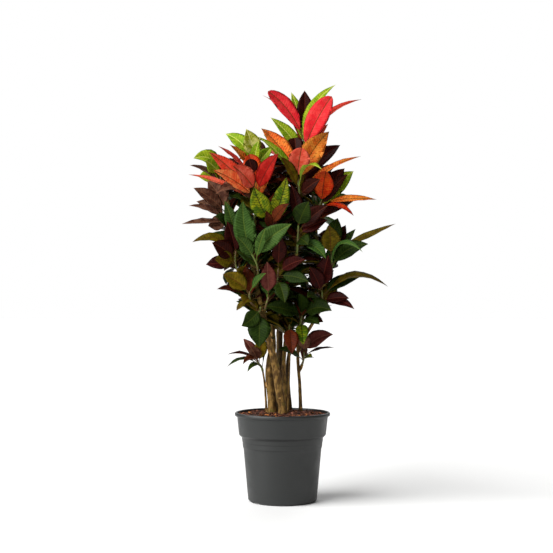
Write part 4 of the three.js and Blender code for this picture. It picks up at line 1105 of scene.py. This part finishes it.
def leaf_surface(leaves, stations, across, settings, chance):
    """All the leaves of one fineness as closed blades on their petioles.

    With t along a leaf and c from 1 to -1 across it, a corner is
    midrib(t) + side W c + normal (T sqrt(1 - c^2) + fold W |c| + wave c^2), and the underside
    has T negative. midrib(t) = foot + chord t + rise 4 arch length t (1 - t). On the petiole W
    and T are its radius. On the blade, with b its share, W = width b^0.8 (1-b)^p / most / 2.
    """
    b = np.array(stations)[None, :, None]
    foot, chord, rise, light, joint = (
        column(leaves, key)[:, None] for key in ("foot", "chord", "rise", "light", "joint")
    )
    length, width, arch, turn, petiole, blunt = (
        column(leaves, key)[:, None, None]
        for key in ("length", "width", "arch", "turn", "petiole", "blunt")
    )
    each = (len(leaves), 1, 1)
    blade, on_petiole = np.clip(b, 0, 1), np.clip(-b, 0, 1)
    t = petiole * (1 - on_petiole) + (1 - petiole) * blade
    crest = 4 * arch * length
    midrib = foot + chord * t + rise * crest * t * (1 - t) + (joint - foot) * on_petiole**2
    along = unit(chord + rise * crest * (1 - 2 * t))
    normal = rise * (1 - turn) + light * turn
    normal = unit(normal - along * (normal * along).sum(axis=-1, keepdims=True))
    side = np.cross(normal, along)
    twist = chance.normal(0, TWIST, each) * t
    side, normal = (
        side * np.cos(twist) + normal * np.sin(twist),
        normal * np.cos(twist) - side * np.sin(twist),
    )
    power = TIP_POWER - blunt
    peak = FOOT_POWER / (FOOT_POWER + power)
    most = peak**FOOT_POWER * (1 - peak) ** power
    outline = blade**FOOT_POWER * (1 - blade) ** power / most
    half = np.maximum(PETIOLE_RADIUS * (1 - 0.85 * blade), outline * width / 2)
    thick = mixed(PETIOLE_RADIUS, settings.thickness / MM / 2, ramp_up(b, 0, 0.1)) * (1 - 0.5 * blade)
    c = np.r_[across, across[-2:0:-1]][None, None, :]
    under = np.r_[np.ones(len(across)), -np.ones(len(across) - 2)][None, None, :]
    unfurled = ramp_up(b, 0, 0.15)
    fold = chance.uniform(0.2, 0.42, each) * unfurled
    phase = chance.uniform(0, 2 * np.pi, each)
    waves = np.sin(2 * np.pi * b * length / (settings.wave_length / MM) + phase + 1.9 * (c > 0))
    lifted = fold * half * np.abs(c) + settings.wave_height / MM * waves * outline * unfurled * c**2
    aside, up = half * c, thick * np.sqrt(1 - c**2) * under + lifted
    points = midrib[:, :, None] + side[:, :, None] * aside[..., None] + normal[:, :, None] * up[..., None]
    whole = np.ones(points.shape[:3])
    lot = chance.uniform(0, 1, each)
    run = b * length * (1 - petiole)
    leaf_mm = np.stack([aside * whole, run * whole, lot * whole], axis=-1)
    leaf_share = np.stack([np.abs(c) * whole, b * whole, under * np.sqrt(1 - c**2) * whole], axis=-1)
    made = loft(points, leaf_mm=leaf_mm, leaf_share=leaf_share)
    quads = (len(stations) - 1) * points.shape[2]
    slots = np.array([1 + list(TINTS).index(leaf["tint"]) for leaf in leaves])
    made["material"] = np.r_[np.repeat(slots, quads), slots, slots]
    return made


def make_shoot(name, axis, leaves, materials, settings, chance):
    """A shoot: its green stem, a tube that tapers and swells where leaves stand, and its leaves."""
    share = np.linspace(0, 1, 13)
    angles = turned(9)
    radius = mixed(*SHOOT_RADIUS, share) * (1 + 0.06 * np.cos(share * 40))
    parts = [loft(tube(on_axis(axis, share), radius[:, None] + 0 * angles, angles)[None])]
    for fine, stations, across in (
        (True, FINE_STATIONS, FINE_ACROSS),
        (False, PLAIN_STATIONS, PLAIN_ACROSS),
    ):
        group = [leaf for leaf in leaves if leaf["fine"] == fine]
        if group:
            parts.append(leaf_surface(group, stations, across, settings, chance))
    settled(made_object(f"leaves_{name}", parts, materials), f"shoot_{name}")


# ---- stage -----------------------------------------------------------------------------------

PHOTO_SIDE = 553
FOCAL_PIXELS = 1150
HORIZON_ROW = 299.8
AXIS_COLUMN = 282.5
CAMERA_HEIGHT = 576
CAMERA_DISTANCE = 3300
SENSOR = 36


def make_camera():
    """A level camera that sees the pot's axis and the horizon where the photograph has them."""
    data = bpy.data.cameras.new("camera")
    data.sensor_width = SENSOR
    data.lens = SENSOR * FOCAL_PIXELS / PHOTO_SIDE
    data.shift_y = (HORIZON_ROW - PHOTO_SIDE / 2) / PHOTO_SIDE
    data.clip_end = 100
    camera = bpy.data.objects.new("camera", data)
    aside = (PHOTO_SIDE / 2 - AXIS_COLUMN) * CAMERA_DISTANCE / FOCAL_PIXELS
    camera.location = (aside * MM, -CAMERA_DISTANCE * MM, CAMERA_HEIGHT * MM)
    camera.rotation_euler = (math.pi / 2, 0, 0)
    bpy.context.scene.collection.objects.link(camera)
    bpy.context.scene.camera = camera


# The suns: where each stands from the plant, its share of the key's strength and its width in
# degrees.
SUNS = {
    "key": ((-2.0, -1.15, 1.6), 1, 62),
    "fill": ((0.6, -2.0, 0.5), 0.04, 60),
    "back": ((0.2, 1.9, 1.2), 0.22, 60),
}


def make_sun(name, place, strength, spread):
    """A far soft light that shines from place towards the plant, spread degrees wide."""
    data = bpy.data.lights.new(name, "SUN")
    data.energy = strength
    data.angle = math.radians(spread)
    lamp = bpy.data.objects.new(name, data)
    away = unit(np.array(place))
    lamp.rotation_euler = (math.acos(away[2]), 0, math.atan2(away[1], away[0]) + math.pi / 2)
    bpy.context.scene.collection.objects.link(lamp)


def make_stage(settings):
    """A pale floor, a pale backdrop all around and three soft lights."""
    # matt emulsion paint: even and pale, with no highlight to draw the eye
    material, tree = new_material("painted_studio_floor")
    surfaced(tree, {"Base Color": (*settings.floor_colour, 1), "Roughness": 0.9})
    side = settings.floor_side / 2 / MM
    corners = np.array([(-side, -side), (side, -side), (side, side), (-side, side)])
    made_object("floor", [prism(corners, -20, 0)], [material], flat=True)
    world = bpy.data.worlds.new("surround")
    world.use_nodes = True
    tree = world.node_tree
    # the backdrop is brighter than the light that it gives, as one lit on its own would be
    backdrop = tree.nodes["Background"]
    backdrop.inputs["Color"].default_value = (*settings.backdrop_colour, 1)
    seen = node(tree, "LightPath", {})["Is Camera Ray"]
    strength = node(tree, "MapRange", (seen, 0, 1, settings.surround, 1))[0]
    tree.links.new(strength, backdrop.inputs["Strength"])
    bpy.context.scene.world = world
    bpy.context.scene.view_settings.view_transform = "Standard"
    for name, (place, share, spread) in SUNS.items():
        make_sun(name, place, settings.key * share, spread)
    make_camera()


# ---- settings --------------------------------------------------------------------------------


def length(name, description, default):
    """A length in metres that a user can change, its default given in millimetres."""
    return bpy.props.FloatProperty(
        name=name, description=description, default=default * MM, min=0, unit="LENGTH", precision=4
    )


def colour(name, description, default):
    """A colour that a user can change, its default an sRGB hex code."""
    return bpy.props.FloatVectorProperty(
        name=name, description=description, default=linear(default), size=3, min=0, max=1, subtype="COLOR"
    )


class CrotonPotSettings(bpy.types.PropertyGroup):
    """Sizes and colour of the nursery pot."""

    rim_radius: length("Rim radius", "Outer radius of the rolled rim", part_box("pot")[1][0] / MM)
    height: length("Height", "From the foot ring to the top of the rim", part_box("pot")[1][2] / MM)
    colour: colour("Colour", "Colour of the plastic", "#1c1e1d")


class CrotonSoilSettings(bpy.types.PropertyGroup):
    """Bark chips on the soil."""

    chips: bpy.props.IntProperty(
        name="Chips", description="How many chips lie on the soil", default=760, min=0
    )
    chip_length: length("Chip length", "Length of a middling chip", 13)
    bark_colour: colour("Bark colour", "Colour that all the chips lean to", "#5c3422")


class CrotonStemSettings(bpy.types.PropertyGroup):
    """Colour of the woody stems."""

    colour: colour("Rubbed bark", "Colour of the bark's raised plates", "#866630")


class CrotonLeafSettings(bpy.types.PropertyGroup):
    """Number and sizes of the leaves."""

    inner_leaves: bpy.props.IntProperty(
        name="Inner leaves", description="Leaves added inside the plant on each shoot", default=12, min=0
    )
    thickness: length("Thickness", "Thickness of a blade at its midrib", 0.9)
    wave_height: length("Wave height", "How far a blade's edge rises and falls", 1.1)
    wave_length: length("Wave length", "From one wave of an edge to the next", 38)
    vein_spacing: length("Vein spacing", "From one side vein to the next along the midrib", 7.5)


class CrotonStageSettings(bpy.types.PropertyGroup):
    """Floor, surround and lights."""

    floor_side: length("Floor side", "Side of the square floor", 60000)
    floor_colour: colour("Floor colour", "Colour of the painted floor", "#fbfbfa")
    backdrop_colour: colour("Backdrop colour", "Colour of the backdrop", "#ffffff")
    surround: bpy.props.FloatProperty(
        name="Surround", description="Strength of the light from all around", default=0.12, min=0
    )
    key: bpy.props.FloatProperty(
        name="Key light", description="Strength of the main soft light", default=4.85, min=0
    )


# ---- operators -------------------------------------------------------------------------------


class CROTON_OT_pot(bpy.types.Operator):
    """Make the nursery pot"""

    bl_idname = "croton.pot"
    bl_label = "Nursery Pot"

    def execute(self, context):
        make_pot(context.scene.croton_pot)
        return {"FINISHED"}


class CROTON_OT_soil(bpy.types.Operator):
    """Make the soil and its bark chips"""

    bl_idname = "croton.soil"
    bl_label = "Bark Soil"

    def execute(self, context):
        make_soil(context.scene.croton_soil, STEMS)
        return {"FINISHED"}


class CROTON_OT_stems(bpy.types.Operator):
    """Make the eight woody stems and their branches"""

    bl_idname = "croton.stems"
    bl_label = "Woody Stems"

    def execute(self, context):
        material = bark_material(context.scene.croton_stems)
        chance = np.random.default_rng(SEED + 1)
        for name, stem in STEMS.items():
            make_stem(name, stem, material, chance)
        return {"FINISHED"}


class CROTON_OT_leaves(bpy.types.Operator):
    """Make the leafy shoots"""

    bl_idname = "croton.leaves"
    bl_label = "Leafy Shoots"

    def execute(self, context):
        settings = context.scene.croton_leaves
        materials = [young_stem_material()]
        materials += [leaf_material(tint, settings.vein_spacing / MM) for tint in TINTS]
        chance = np.random.default_rng(SEED + 2)
        routes = {}
        for stem in STEMS.values():
            routes[stem["leader"]] = stem["route"]
            routes.update(stem["branches"])
        axes = {name: shoot_axis(routes[name], shoot["tip"]) for name, shoot in SHOOTS.items()}
        groups = {name: shoot_leaves(name, shoot, axes[name], chance) for name, shoot in SHOOTS.items()}
        add_inner_leaves(groups, axes, settings.inner_leaves, chance)
        for name, shoot in SHOOTS.items():
            make_shoot(name, axes[name], groups[name], materials, settings, chance)
        return {"FINISHED"}


class CROTON_OT_stage(bpy.types.Operator):
    """Make the floor, the lights and the camera"""

    bl_idname = "croton.stage"
    bl_label = "Stage"

    def execute(self, context):
        make_stage(context.scene.croton_stage)
        return {"FINISHED"}


class CROTON_PT_panel(bpy.types.Panel):
    """The settings and the buttons that make the plant"""

    bl_idname = "CROTON_PT_panel"
    bl_label = "Potted Croton"
    bl_space_type = "VIEW_3D"
    bl_region_type = "UI"
    bl_category = "Croton"

    def draw(self, context):
        """A box for each step, with its settings and its button."""
        for step in STEPS:
            box = self.layout.box()
            settings = getattr(context.scene, step["settings"])
            for key in step["group"].__annotations__:
                box.prop(settings, key)
            box.operator(step["operator"].bl_idname)


STEPS = (
    {"operator": CROTON_OT_stage, "group": CrotonStageSettings, "settings": "croton_stage"},
    {"operator": CROTON_OT_pot, "group": CrotonPotSettings, "settings": "croton_pot"},
    {"operator": CROTON_OT_soil, "group": CrotonSoilSettings, "settings": "croton_soil"},
    {"operator": CROTON_OT_stems, "group": CrotonStemSettings, "settings": "croton_stems"},
    {"operator": CROTON_OT_leaves, "group": CrotonLeafSettings, "settings": "croton_leaves"},
)


def register():
    """Makes the classes known, and gives the scene the settings of each."""
    for step in STEPS:
        bpy.utils.register_class(step["group"])
        bpy.utils.register_class(step["operator"])
        setattr(bpy.types.Scene, step["settings"], bpy.props.PointerProperty(type=step["group"]))
    bpy.utils.register_class(CROTON_PT_panel)


def unregister():
    """Undoes what register does."""
    bpy.utils.unregister_class(CROTON_PT_panel)
    for step in reversed(STEPS):
        delattr(bpy.types.Scene, step["settings"])
        bpy.utils.unregister_class(step["operator"])
        bpy.utils.unregister_class(step["group"])


def main():
    """Makes the plant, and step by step."""
    register()
    bpy.ops.croton.stage()
    bpy.ops.croton.pot()
    bpy.ops.croton.soil()
    bpy.ops.croton.stems()
    bpy.ops.croton.leaves()


if __name__ == "__main__":
    main()
